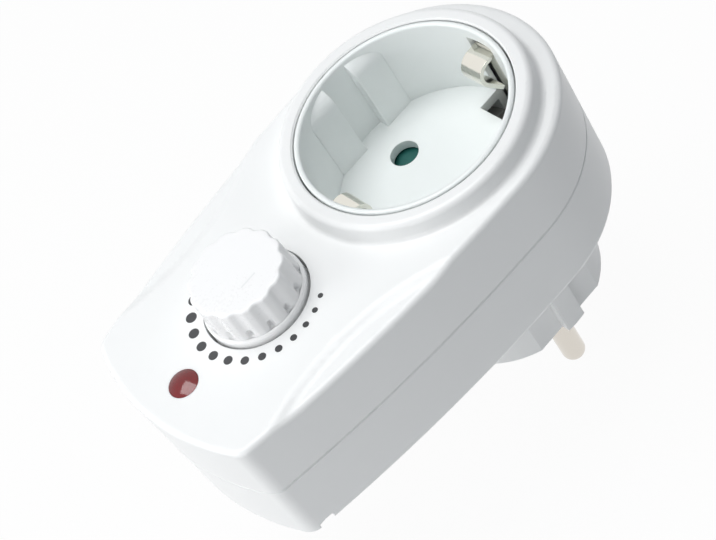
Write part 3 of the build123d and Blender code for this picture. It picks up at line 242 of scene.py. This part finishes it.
@dataclass(frozen=True)
class Finish:
    """A surface finish with its own colour drift, grain and gloss.

    The grain's size, its relief and the rounding of edges are in millimetres. Drift and spread
    say how far colour and roughness stray from their middle, and stretch draws the grain out
    along an axis.
    """

    name: str
    colour: Colour
    drift: float
    roughness: float
    spread: float
    grain: float
    relief: float
    metallic: float = 0.0
    coat: float = 0.0
    transmission: float = 0.0
    subsurface: float = 0.0
    rounding: float = 0.0
    stretch: Place = (1.0, 1.0, 1.0)

    def material(self) -> bpy.types.Material:
        """Build the finish as a material.

        Returns:
            The material, in Object coordinates, so that its grain stays put.
        """
        material, graph = material_graph(self.name)
        place = graph.signal("ShaderNodeTexCoord", "Object")
        along = graph.signal("ShaderNodeMapping", 0, {}, {"Vector": place, "Scale": self.stretch})
        cloud = self.noise(graph, along, CLOUD_PER_GRAIN * self.grain, CLOUD_DETAIL)
        fine = self.noise(graph, along, self.grain, GRAIN_DETAIL)
        deep = tuple(c * (1 - self.drift) for c in self.colour)
        pale = tuple(min(1.0, c * (1 + self.drift)) for c in self.colour)
        rough = self.roughness + (cloud + fine - 1.0) * self.spread
        shader = graph.add("ShaderNodeBsdfPrincipled", {}, {
            "Base Color": graph.mix(cloud, rgba(deep), rgba(pale)), "Roughness": rough,
            "Metallic": self.metallic, "Coat Weight": self.coat,
            "Coat Roughness": COAT_ROUGHNESS, "Transmission Weight": self.transmission,
            "Subsurface Weight": self.subsurface, "Subsurface Radius": SCATTER_SHARES,
            "Subsurface Scale": MM})
        bump = {"Height": fine, "Distance": self.relief * MM, "Strength": 1.0}
        if self.rounding:
            bump["Normal"] = graph.signal("ShaderNodeBevel", 0, {"samples": ROUNDING_SAMPLES},
                                          {"Radius": self.rounding * MM})
        graph.feed(shader.inputs["Normal"], graph.signal("ShaderNodeBump", 0, {}, bump))
        graph.add("ShaderNodeOutputMaterial", {}, {"Surface": shader.outputs[0]})
        return material

    def noise(self, graph: NodeGraph, place: Signal, size: float, detail: float) -> Signal:
        """Noise with features of one size.

        Args:
            graph: the material's node graph.
            place: the coordinates that the noise is read at.
            size: the size of its features in millimetres.
            detail: how many finer layers it has.

        Returns:
            The noise, from 0 to 1.
        """
        return graph.signal("ShaderNodeTexNoise", "Fac", {}, {
            "Vector": place, "Scale": 1.0 / (size * MM), "Detail": detail,
            "Roughness": NOISE_ROUGHNESS})


@dataclass(frozen=True)
class LensFinish:
    """Translucent coloured plastic, with painted shade that darkens it towards its rim."""

    name: str
    middle: Colour
    painted_rim_shade: Colour
    painted_rim_shade_blend: float
    roughness: float
    spread: float
    swirls: float
    transmission: float
    index: float
    coat: float
    coat_roughness: float

    def material(self) -> bpy.types.Material:
        """Build the finish as a material.

        Returns:
            The material, with painted shade that makes it darker where the lens turns away from the
            eye.
        """
        material, graph = material_graph(self.name)
        place = graph.signal("ShaderNodeTexCoord", "Object")
        swirl = graph.signal("ShaderNodeTexNoise", "Fac", {}, {
            "Vector": place, "Scale": self.swirls, "Detail": CLOUD_DETAIL})
        painted_rim_shade = graph.signal("ShaderNodeLayerWeight", "Facing", {}, {"Blend": self.painted_rim_shade_blend})
        shader = graph.add("ShaderNodeBsdfPrincipled", {}, {
            "Base Color": graph.mix(painted_rim_shade, rgba(self.middle), rgba(self.painted_rim_shade)),
            "Roughness": self.roughness + swirl * self.spread,
            "Transmission Weight": self.transmission, "IOR": self.index,
            "Coat Weight": self.coat, "Coat Roughness": self.coat_roughness})
        graph.add("ShaderNodeOutputMaterial", {}, {"Surface": shader.outputs[0]})
        return material


# Housing, socket and knob
WHITE_SHELL = Finish("white_shell", (0.895, 0.902, 0.898), drift=0.012, roughness=0.33, spread=0.05,
                     grain=0.30, relief=0.0022, subsurface=0.25, rounding=0.12)
# The insert's greenish tint is its own colour; its extra paleness is painted light for the shaded
# well.
INSERT_WHITE_WITH_PAINTED_LIGHT = Finish("white_insert_painted_light", (0.90, 0.935, 0.925), drift=0.012, roughness=0.30, spread=0.05,
                      grain=0.45, relief=0.0012, subsurface=0.25, rounding=0.14)
# The knob's white is made paler than the shell's as painted light, standing for light thrown back from
# the face.
KNOB_WHITE_WITH_PAINTED_LIGHT = Finish("white_knob_painted_light", (0.95, 0.95, 0.95), drift=0.010, roughness=0.28, spread=0.05,
                    grain=0.45, relief=0.0010, subsurface=0.25)

# Metals
NICKEL = Finish("nickel", (0.70, 0.66, 0.60), drift=0.05, roughness=0.15, spread=0.07,
                grain=0.25, relief=0.0008, metallic=1.0, rounding=0.08, stretch=(1.0, 1.0, 0.15))
NICKEL_STRIP = Finish("nickel_strip", (0.80, 0.78, 0.71), drift=0.07, roughness=0.12, spread=0.08,
                      grain=0.20, relief=0.0012, metallic=1.0, rounding=0.06,
                      stretch=(1.0, 0.15, 0.15))
BRASS = Finish("contact_brass", (0.62, 0.43, 0.17), drift=0.08, roughness=0.28, spread=0.08,
               grain=0.20, relief=0.0012, metallic=1.0)
ZINC = Finish("zinc_steel", (0.55, 0.56, 0.58), drift=0.06, roughness=0.30, spread=0.08,
              grain=0.20, relief=0.0015, metallic=1.0, rounding=0.06)
ALUMINIUM = Finish("rolled_aluminium", (0.66, 0.67, 0.68), drift=0.05, roughness=0.34, spread=0.08,
                   grain=0.20, relief=0.0015, metallic=1.0, stretch=(1.0, 0.1, 1.0))
COPPER = Finish("enamelled_copper", (0.45, 0.14, 0.04), drift=0.08, roughness=0.26, spread=0.06,
                grain=0.30, relief=0.004, metallic=0.8, coat=0.6)
SPRING = Finish("spring_steel", (0.30, 0.30, 0.31), drift=0.05, roughness=0.32, spread=0.08,
                grain=0.20, relief=0.002, metallic=1.0, stretch=(0.2, 0.2, 2.0))

# Works under the socket and on the board
# The shutter's teal is darkened to stand for the deep shade inside the pin holes: painted shade over
# its own colour.
TEAL_DARKENED_AS_SHADE = Finish("teal_shutter_painted_shade", (0.008, 0.105, 0.090), drift=0.05, roughness=0.42, spread=0.06,
              grain=0.35, relief=0.002)
CARRIER = Finish("grey_carrier", (0.36, 0.36, 0.35), drift=0.03, roughness=0.50, spread=0.06,
                 grain=0.35, relief=0.003)
LAMINATE = Finish("board_laminate", (0.30, 0.17, 0.055), drift=0.10, roughness=0.48, spread=0.06,
                  grain=0.50, relief=0.003, stretch=(0.2, 1.0, 1.0))
FERRITE = Finish("ferrite", (0.045, 0.045, 0.05), drift=0.12, roughness=0.60, spread=0.08,
                 grain=0.20, relief=0.006)
FILM_CASE = Finish("film_case", (0.36, 0.03, 0.02), drift=0.05, roughness=0.45, spread=0.05,
                   grain=0.40, relief=0.004)
DIPPED = Finish("dipped_case", (0.42, 0.15, 0.02), drift=0.06, roughness=0.30, spread=0.06,
                grain=0.60, relief=0.010, coat=0.3)
BLUE_GLASS = Finish("blue_lacquer", (0.02, 0.05, 0.24), drift=0.05, roughness=0.22, spread=0.05,
                    grain=0.30, relief=0.002, coat=0.5)
RESISTOR = Finish("resistor_lacquer", (0.50, 0.36, 0.18), drift=0.05, roughness=0.38, spread=0.06,
                  grain=0.30, relief=0.005)
MOULDING = Finish("black_moulding", (0.018, 0.018, 0.019), drift=0.10, roughness=0.50, spread=0.06,
                  grain=0.25, relief=0.004)
CLEAR_GLASS = Finish("clear_glass", (0.93, 0.95, 0.94), drift=0.01, roughness=0.05, spread=0.02,
                     grain=0.60, relief=0.001, transmission=0.95)
TRACK = Finish("resistive_track", (0.035, 0.018, 0.010), drift=0.08, roughness=0.42, spread=0.06,
               grain=0.25, relief=0.002)
LIVE_WIRE = Finish("brown_insulation", (0.10, 0.035, 0.015), drift=0.05, roughness=0.40, spread=0.05,
                   grain=0.40, relief=0.004)
SWITCHED_WIRE = Finish("black_insulation", (0.02, 0.02, 0.02), drift=0.05, roughness=0.40, spread=0.05,
                       grain=0.40, relief=0.004)
NEUTRAL_WIRE = Finish("blue_insulation", (0.02, 0.07, 0.26), drift=0.05, roughness=0.40, spread=0.05,
                      grain=0.40, relief=0.004)

# Prints and the indicator's lens
PRINT_INK = Finish("print_ink", (0.030, 0.031, 0.034), drift=0.15, roughness=0.45, spread=0.06,
                   grain=0.25, relief=0.003)
MARK_INK = Finish("mark_shade", (0.84, 0.85, 0.85), drift=0.05, roughness=0.40, spread=0.05,
                  grain=0.25, relief=0.002)
# The darker second colour is painted shade around the lens's rim.
RED_LENS = LensFinish("red_lens", (0.30, 0.006, 0.010), (0.08, 0.002, 0.004), painted_rim_shade_blend=0.35,
                      roughness=0.10, spread=0.06, swirls=900.0, transmission=0.35, index=1.5,
                      coat=0.25, coat_roughness=0.04)

DRESSING: dict[Finish | LensFinish, tuple[str, ...]] = {
    WHITE_SHELL: ("front_housing", "rear_housing"),
    INSERT_WHITE_WITH_PAINTED_LIGHT: ("socket_insert",),
    NICKEL: ("plug_pin_live", "plug_pin_neutral", "fuse_caps"),
    NICKEL_STRIP: ("earth_contact_far", "earth_contact_near", "earth_bridge"),
    BRASS: ("socket_contact_live", "socket_contact_neutral", "potentiometer_wiper",
            "potentiometer_bushing", "fuse_clips"),
    ZINC: ("housing_screws", "board_screws", "potentiometer_body", "lamp_leads", "triac_tab"),
    ALUMINIUM: ("heat_sink", "potentiometer_shaft"),
    TEAL_DARKENED_AS_SHADE: ("safety_shutter",),
    CARRIER: ("contact_carrier",),
    LAMINATE: ("circuit_board",),
    FERRITE: ("choke_core",),
    COPPER: ("choke_winding",),
    FILM_CASE: ("film_capacitor",),
    DIPPED: ("timing_capacitor",),
    BLUE_GLASS: ("diac",),
    RESISTOR: ("resistors",),
    MOULDING: ("triac_package",),
    CLEAR_GLASS: ("fuse_tube", "indicator_lamp"),
    TRACK: ("potentiometer_track",),
    SPRING: ("shutter_spring",),
    LIVE_WIRE: ("live_pin_wire",),
    SWITCHED_WIRE: ("live_contact_wire",),
    NEUTRAL_WIRE: ("neutral_wire",),
    RED_LENS: ("indicator_lens",),
}


class Modifier:
    """A geometry nodes tree with named inputs, run once on an object."""

    def __init__(self, name: str, inputs: dict[str, float]) -> None:
        """Make the tree with its geometry input and output and its named number inputs.

        Args:
            name: the tree's name.
            inputs: each number input's name and value.
        """
        self.tree = bpy.data.node_groups.new(name, "GeometryNodeTree")
        self.graph = NodeGraph(self.tree)
        self.inputs = inputs
        sockets = self.tree.interface
        sockets.new_socket("Geometry", in_out="INPUT", socket_type="NodeSocketGeometry")
        for label in inputs:
            sockets.new_socket(label, in_out="INPUT", socket_type="NodeSocketFloat")
        sockets.new_socket("Geometry", in_out="OUTPUT", socket_type="NodeSocketGeometry")
        self.start = self.graph.add("NodeGroupInput")

    def value(self, label: str) -> Signal:
        """One of the named inputs."""
        return Signal(self.graph, self.start.outputs[label])

    def close(self, geometry: bpy.types.NodeSocket, material: bpy.types.Material) -> None:
        """Realise the geometry, give it its material and end the tree.

        Args:
            geometry: the output that holds the finished shape.
            material: the finish of the whole shape.
        """
        real = self.graph.add("GeometryNodeRealizeInstances", {}, {"Geometry": geometry})
        dressed = self.graph.add("GeometryNodeSetMaterial", {}, {
            "Geometry": real.outputs[0], "Material": material})
        self.graph.add("NodeGroupOutput", {}, {"Geometry": dressed.outputs[0]})

    def applied(self, piece: bpy.types.Object) -> bpy.types.Object:
        """Run the tree on a piece and keep the result as its plain mesh.

        Args:
            piece: the object that the tree starts from.

        Returns:
            The same object with its new mesh and no modifier.
        """
        modifier = piece.modifiers.new(self.tree.name, "NODES")
        modifier.node_group = self.tree
        for item in self.tree.interface.items_tree:
            if item.in_out == "INPUT" and item.name in self.inputs:
                modifier[item.identifier] = float(self.inputs[item.name])
        graph = bpy.context.evaluated_depsgraph_get()
        mesh = bpy.data.meshes.new_from_object(piece.evaluated_get(graph))
        piece.modifiers.remove(modifier)
        piece.data = mesh
        return piece


def new_piece(name: str, mesh: bpy.types.Mesh | None = None) -> bpy.types.Object:
    """Put a new object in the scene, at the origin.

    Args:
        name: the object's name.
        mesh: its mesh, or an empty one if none is given.

    Returns:
        The object.
    """
    piece = bpy.data.objects.new(name, mesh or bpy.data.meshes.new(name))
    bpy.context.scene.collection.objects.link(piece)
    return piece


def attach(piece: bpy.types.Object, body: Body, replaced: Iterable[str] = ()) -> None:
    """Let a piece ride on a body and hide what it stands for.

    Args:
        piece: the finished piece.
        body: the body that carries it.
        replaced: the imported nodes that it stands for, if any.
    """
    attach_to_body(piece, body.value)
    if replaced:
        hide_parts(*replaced)
    log.info("%s rides on %s", piece.name, body.value)


def mesh_from(shape: bmesh.types.BMesh, name: str) -> bpy.types.Mesh:
    """Turn a shape into a mesh and free it.

    Args:
        shape: the finished shape.
        name: the mesh's name.

    Returns:
        The mesh.
    """
    mesh = bpy.data.meshes.new(name)
    shape.to_mesh(mesh)
    shape.free()
    return mesh


def turned(profile: list[ProfilePoint], steps: int, centre: Vector, name: str) -> bpy.types.Mesh:
    """Turn a profile about an upright axis into a closed smooth mesh.

    Args:
        profile: radius and height of each ring in metres, from the lowest middle to the highest.
        steps: faces around the axis.
        centre: where the axis stands.
        name: the mesh's name.

    Returns:
        The mesh, with a pole where a radius is zero.
    """
    shape = bmesh.new()
    angles = [math.tau * k / steps for k in range(steps)]
    rings = []
    for radius, height in profile:
        if radius == 0:
            rings.append([shape.verts.new(centre + Vector((0, 0, height)))])
            continue
        rings.append([
            shape.verts.new(centre + Vector((radius * math.cos(a), radius * math.sin(a), height)))
            for a in angles])
    for low, high in zip(rings, rings[1:]):
        for k in range(steps):
            corners = [low[k % len(low)], low[(k + 1) % len(low)],
                       high[(k + 1) % len(high)], high[k % len(high)]]
            shape.faces.new(list(dict.fromkeys(corners)))
    for face in shape.faces:
        face.smooth = True
    return mesh_from(shape, name)


def arc(centre: ProfilePoint, radius: float, start: float, end: float,
        steps: int) -> list[ProfilePoint]:
    """Points of an arc in a profile.

    Args:
        centre: the arc's centre.
        radius: its radius.
        start: its first angle in degrees.
        end: its last angle in degrees.
        steps: how many parts it is cut into.

    Returns:
        The points, with both ends.
    """
    angles = [math.radians(start + (end - start) * k / steps) for k in range(steps + 1)]
    return [(centre[0] + radius * math.cos(a), centre[1] + radius * math.sin(a)) for a in angles]


def line(start: ProfilePoint, end: ProfilePoint, steps: int) -> list[ProfilePoint]:
    """Points on a straight line between two profile points.

    Args:
        start: the first end.
        end: the last end.
        steps: how many parts the line is cut into.

    Returns:
        The points, without the ends.
    """
    shares = [k / steps for k in range(1, steps)]
    return [(start[0] + (end[0] - start[0]) * s, start[1] + (end[1] - start[1]) * s)
            for s in shares]


@dataclass
class ControlKnob:
    """Fluted knob: a round skirt, broad flutes between ridges, scooped foot and a flat top."""

    skirt_radius: float = 9.7
    skirt_rise: float = 1.3
    skirt_rounding: float = 0.6
    base_radius: float = 9.20
    top_radius: float = 8.95
    top_rounding: float = 0.45
    crease_width: float = 0.01
    crease_height: float = 0.02
    ridges: int = 14
    ridge_phase: float = -4.1
    flute_depth: float = 0.45
    flute_floor: float = 0.04
    flute_edge: float = 0.80
    scoop_depth: float = 0.85
    scoop_lift: float = 0.75
    scoop_reach: float = 1.15
    scoop_share: float = 0.32
    scoop_side_floor: float = 0.35
    scoop_height_floor: float = 0.30
    press_start: float = -0.01
    press_full: float = 0.03
    press_inner_share: float = 0.80
    press_outer_share: float = 0.94
    least_radius: float = 0.1
    steps_per_ridge: int = 30
    rounding_steps: int = 8
    skirt_steps: int = 8
    grip_steps: int = 44
    top_steps: int = 12
    underside_share: float = 0.5
    mark_x: float = 3.6
    mark_y: float = 0.15
    mark_length: float = 3.6
    mark_width: float = 0.32
    mark_rounding_share: float = 0.45
    mark_rounding_steps: int = 4
    print_height: float = 0.02

    def __post_init__(self) -> None:
        """Take the knob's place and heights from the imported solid."""
        low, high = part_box("control_knob")
        face_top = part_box("front_housing")[1].z
        self.centre = Vector(((low.x + high.x) / 2, (low.y + high.y) / 2, 0))
        self.bottom = low.z
        self.top = high.z
        self.skirt_top = face_top + (self.skirt_rise - COLLAR_HEIGHT) * MM

    def profile(self) -> list[ProfilePoint]:
        """Outline of the plain knob, before its flutes.

        Returns:
            Radius and height of each ring, from the middle of its underside to that of its top.
        """
        skirt = self.skirt_radius * MM
        fold = self.skirt_rounding * MM
        base = self.base_radius * MM
        head = self.top_radius * MM
        edge = self.top_rounding * MM
        shoulder = self.skirt_top - fold
        points = [(0, self.bottom), (skirt * self.underside_share, self.bottom), (skirt, self.bottom)]
        points += line((skirt, self.bottom), (skirt, shoulder), self.skirt_steps)
        points += arc((skirt - fold, shoulder), fold, 0, 90, self.rounding_steps)
        points += [(base + self.crease_width * MM, self.skirt_top)]
        points += [(base, self.skirt_top + self.crease_height * MM)]
        points += line((base, self.skirt_top), (head, self.top - edge), self.grip_steps)
        points += arc((head - edge, self.top - edge), edge, 0, 90, self.rounding_steps)
        points += line((head - edge, self.top), (0, self.top), self.top_steps)
        return points + [(0, self.top)]

    def fluting(self, material: bpy.types.Material) -> Modifier:
        """Tree that presses the flutes and foot scoops into the plain knob.

        Args:
            material: the finish of the whole knob.

        Returns:
            The tree, ready to be applied.
        """
        tree = Modifier("knob_fluting", {
            "Ridges": self.ridges, "Flute Depth": self.flute_depth * MM,
            "Scoop Share": self.scoop_share, "Phase": math.radians(self.ridge_phase),
            "Axis X": self.centre.x, "Axis Y": self.centre.y, "Foot": self.skirt_top,
            "Scoop Depth": self.scoop_depth * MM, "Scoop Lift": self.scoop_lift * MM,
            "Scoop Reach": self.scoop_reach * MM, "Outer": self.base_radius * MM})
        graph = tree.graph
        place = graph.add("GeometryNodeInputPosition")
        split = graph.add("ShaderNodeSeparateXYZ", {}, {0: place.outputs[0]})
        across = Signal(graph, split.outputs[0]) - tree.value("Axis X")
        along = Signal(graph, split.outputs[1]) - tree.value("Axis Y")
        height = Signal(graph, split.outputs[2])
        radius = (across * across + along * along) ** 0.5

        bearing = graph.maths("ARCTAN2", along, across) - tree.value("Phase")
        turn = bearing * tree.value("Ridges") / math.tau
        offset = graph.maths("ABSOLUTE", graph.maths("FRACT", turn) - 0.5) * 2.0
        flute = 1.0 - graph.smooth(offset, self.flute_floor, self.flute_edge)
        pit = 1.0 - graph.smooth(offset / tree.value("Scoop Share"), self.scoop_side_floor, 1.0)

        lift = height - tree.value("Foot")
        above = graph.maths("ABSOLUTE", lift - tree.value("Scoop Lift")) / tree.value("Scoop Reach")
        foot = 1.0 - graph.smooth(above, self.scoop_height_floor, 1.0)
        risen = graph.smooth(lift, self.press_start * MM, self.press_full * MM)
        outward = graph.smooth(radius, tree.value("Outer") * self.press_inner_share,
                               tree.value("Outer") * self.press_outer_share)

        depth = flute * tree.value("Flute Depth") + foot * pit * tree.value("Scoop Depth")
        press = depth * (risen * outward)
        share = 1.0 - press / graph.maths("MAXIMUM", radius, self.least_radius * MM)
        spot = graph.add("ShaderNodeCombineXYZ", {}, {
            0: across * share + tree.value("Axis X"), 1: along * share + tree.value("Axis Y"),
            2: height})
        moved = graph.add("GeometryNodeSetPosition", {}, {
            "Geometry": tree.start.outputs["Geometry"], "Position": spot.outputs[0]})
        tree.close(moved.outputs[0], material)
        return tree

    def build(self) -> None:
        """Make the knob and the faint line on its top."""
        steps = self.ridges * self.steps_per_ridge
        mesh = turned(self.profile(), steps, self.centre, "knob")
        knob = self.fluting(KNOB_WHITE_WITH_PAINTED_LIGHT.material()).applied(new_piece("knob", mesh))
        attach(knob, Body.KNOB, ["control_knob"])
        self.build_mark()

    def build_mark(self) -> None:
        """Thin line on the knob's top."""
        middle = self.centre + Vector((self.mark_x * MM, self.mark_y * MM, self.top))
        size = Vector((self.mark_width * MM, self.mark_length * MM, self.print_height * MM))
        place = Matrix.Translation(middle) @ Matrix.Diagonal((*size, 1.0))
        shape = bmesh.new()
        bmesh.ops.create_cube(shape, size=1.0, matrix=place)
        ends = [e for e in shape.edges
                if abs((e.verts[0].co - e.verts[1].co).z) > size.z / 2]
        bmesh.ops.bevel(shape, geom=ends, offset=size.x * self.mark_rounding_share,
                        segments=self.mark_rounding_steps, affect="EDGES")
        mesh = mesh_from(shape, "knob_mark")
        mesh.materials.append(MARK_INK.material())
        attach(new_piece("knob_mark", mesh), Body.KNOB)


@dataclass
class PrintedScale:
    """Ring of printed dots that grow clockwise around the knob."""

    dots: int = 17
    ring_radius: float = 12.33
    first_angle: float = 32.1
    angle_step: float = 13.15
    step_growth: float = 0.155
    first_diameter: float = 1.0
    diameter_step: float = 0.10
    thickness: float = 0.02
    faces: int = 40

    def build(self) -> None:
        """Make the dots with a tree that repeats one disc along the ring."""
        low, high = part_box("control_knob")
        face_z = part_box("front_housing")[1].z - COLLAR_HEIGHT * MM
        tree = Modifier("scale_dots", {
            "Ring Radius": self.ring_radius * MM, "First Angle": math.radians(self.first_angle),
            "Angle Step": math.radians(self.angle_step),
            "Step Growth": math.radians(self.step_growth),
            "First Radius": self.first_diameter / 2 * MM,
            "Radius Step": self.diameter_step / 2 * MM, "Thickness": self.thickness * MM,
            "Centre X": (low.x + high.x) / 2, "Centre Y": (low.y + high.y) / 2, "Face": face_z})
        graph = tree.graph
        row = graph.add("GeometryNodePoints", {}, {"Count": self.dots})
        index = graph.signal("GeometryNodeInputIndex")
        evenly = tree.value("First Angle") - index * tree.value("Angle Step")
        angle = evenly - index * index * tree.value("Step Growth")
        spot = graph.add("ShaderNodeCombineXYZ", {}, {
            0: graph.maths("COSINE", angle) * tree.value("Ring Radius") + tree.value("Centre X"),
            1: graph.maths("SINE", angle) * tree.value("Ring Radius") + tree.value("Centre Y"),
            2: tree.value("Face") + tree.value("Thickness") / 2.0})
        placed = graph.add("GeometryNodeSetPosition", {}, {
            "Geometry": row.outputs[0], "Position": spot.outputs[0]})
        disc = graph.add("GeometryNodeMeshCylinder", {}, {
            "Vertices": self.faces, "Radius": 1.0, "Depth": tree.value("Thickness")})
        size = tree.value("First Radius") + index * tree.value("Radius Step")
        scale = graph.add("ShaderNodeCombineXYZ", {}, {0: size, 1: size, 2: 1.0})
        copies = graph.add("GeometryNodeInstanceOnPoints", {}, {
            "Points": placed.outputs[0], "Instance": disc.outputs["Mesh"],
            "Scale": scale.outputs[0]})
        tree.close(copies.outputs[0], PRINT_INK.material())
        piece = tree.applied(new_piece("scale_dots"))
        attach(piece, Body.BASE)


class Works:
    """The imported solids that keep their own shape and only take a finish."""

    def dress(self) -> None:
        """Give each solid its material."""
        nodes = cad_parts
        for finish, names in DRESSING.items():
            material = finish.material()
            for name in names:
                self.paint(nodes[name], material)

    def paint(self, node: bpy.types.Object, material: bpy.types.Material) -> None:
        """Put one material in every slot of a solid.

        Args:
            node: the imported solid.
            material: the finish that it takes.
        """
        if not node.material_slots:
            node.data.materials.append(material)
        for slot in node.material_slots:
            slot.material = material
        log.info("%s takes %s", node.name, material.name)


@dataclass(frozen=True)
class SoftLight:
    """Square soft light; place and size are in millimetres and power is in watts."""

    name: str
    place: Place
    power: float
    size: float

    def build(self, aim: Vector) -> None:
        """Hang the light and turn it to what it lights.

        Args:
            aim: the point that it faces, in metres.
        """
        light = bpy.data.lights.new(self.name, "AREA")
        light.energy = self.power
        light.size = self.size * MM
        lamp = bpy.data.objects.new(self.name, light)
        bpy.context.scene.collection.objects.link(lamp)
        lamp.location = Vector(self.place) * MM
        lamp.rotation_mode = "QUATERNION"
        lamp.rotation_quaternion = (aim - lamp.location).to_track_quat("-Z", "Y")


LIGHTS = (
    SoftLight("overhead", place=(-70, -50, 620), power=2.54, size=420),
    SoftLight("front", place=(-110, -540, 260), power=1.15, size=300),
    SoftLight("fill", place=(280, -430, 150), power=0.42, size=320),
)


@dataclass
class Studio:
    """Plain white studio with soft lights and the camera of the photograph."""

    aim: Place = (0.94, -23.0, 36.6)
    distance: float = 351.33
    azimuth: float = 74.60
    elevation: float = 48.04
    roll: float = -36.80
    lens: float = 100.56
    sensor: float = 36.0
    floor_drop: float = 0.3
    floor_size: float = 4000.0
    floor_glow: float = 0.95
    paper_deep: Colour = (0.80, 0.80, 0.80)
    paper_pale: Colour = (0.84, 0.84, 0.84)
    paper_clouds: float = 3.0
    sky_tint: Colour = (0.86, 0.93, 1.0)
    sky_strength: float = 0.21
    seen_strength: float = 1.0

    def build(self) -> None:
        """Make the floor, the world, the lights and the camera."""
        self.build_floor()
        self.build_world()
        for light in LIGHTS:
            light.build(Vector(self.aim) * MM)
        self.build_camera()
        bpy.context.scene.view_settings.view_transform = "Standard"

    def build_floor(self) -> None:
        """White floor that keeps a faint shadow."""
        material, graph = material_graph("studio_floor")
        share = graph.seen_directly() * self.floor_glow
        place = graph.signal("ShaderNodeTexCoord", "Object")
        cloud = graph.signal("ShaderNodeTexNoise", "Fac", {}, {
            "Vector": place, "Scale": self.paper_clouds})
        paper = graph.mix(cloud, rgba(self.paper_deep), rgba(self.paper_pale))
        diffuse = graph.add("ShaderNodeBsdfDiffuse", {}, {"Color": paper})
        glow = graph.add("ShaderNodeEmission", {}, {"Color": rgba(WHITE), "Strength": 1.0})
        both = graph.add("ShaderNodeMixShader", {}, {
            0: share, 1: diffuse.outputs[0], 2: glow.outputs[0]})
        graph.add("ShaderNodeOutputMaterial", {}, {"Surface": both.outputs[0]})
        half = self.floor_size / 2 * MM
        height = CAD_BOX[0].z - self.floor_drop * MM
        corners = ((-half, -half), (half, -half), (half, half), (-half, half))
        mesh = bpy.data.meshes.new("studio_floor")
        mesh.from_pydata([(x, y, height) for x, y in corners], [], [(0, 1, 2, 3)])
        mesh.materials.append(material)
        new_piece("studio_floor", mesh)

    def build_world(self) -> None:
        """Even surroundings, soft and cool on the object and white to the camera."""
        world = bpy.data.worlds.new("studio")
        world.use_nodes = True
        graph = NodeGraph(world.node_tree)
        seen = graph.seen_directly()
        strength = self.sky_strength + seen * (self.seen_strength - self.sky_strength)
        tint = graph.mix(seen, rgba(self.sky_tint), rgba(WHITE))
        glow = graph.add("ShaderNodeBackground", {}, {"Color": tint, "Strength": strength})
        graph.add("ShaderNodeOutputWorld", {}, {"Surface": glow.outputs[0]})
        bpy.context.scene.world = world

    def build_camera(self) -> None:
        """Camera at the photograph's viewing angle, turned about its own axis."""
        azimuth = math.radians(self.azimuth)
        elevation = math.radians(self.elevation)
        back = Vector((math.sin(azimuth) * math.cos(elevation),
                       -math.cos(azimuth) * math.cos(elevation), math.sin(elevation)))
        level = Vector((math.cos(azimuth), math.sin(azimuth), 0))
        right = Matrix.Rotation(math.radians(self.roll), 3, back) @ level
        upward = back.cross(right)
        place = Vector(self.aim) * MM + back * self.distance * MM
        data = bpy.data.cameras.new("camera")
        data.lens = self.lens
        data.sensor_width = self.sensor
        data.sensor_fit = "HORIZONTAL"
        data.clip_start = MM
        camera = bpy.data.objects.new("camera", data)
        bpy.context.scene.collection.objects.link(camera)
        axes = Matrix((right, upward, back)).transposed().to_4x4()
        camera.matrix_world = Matrix.Translation(place) @ axes
        bpy.context.scene.camera = camera


def main() -> None:
    """Build every sub-assembly in order."""
    logging.basicConfig(level=logging.INFO, format="%(message)s")
    Works().dress()
    ControlKnob().build()
    PrintedScale().build()
    Studio().build()


if __name__ == "__main__":
    main()
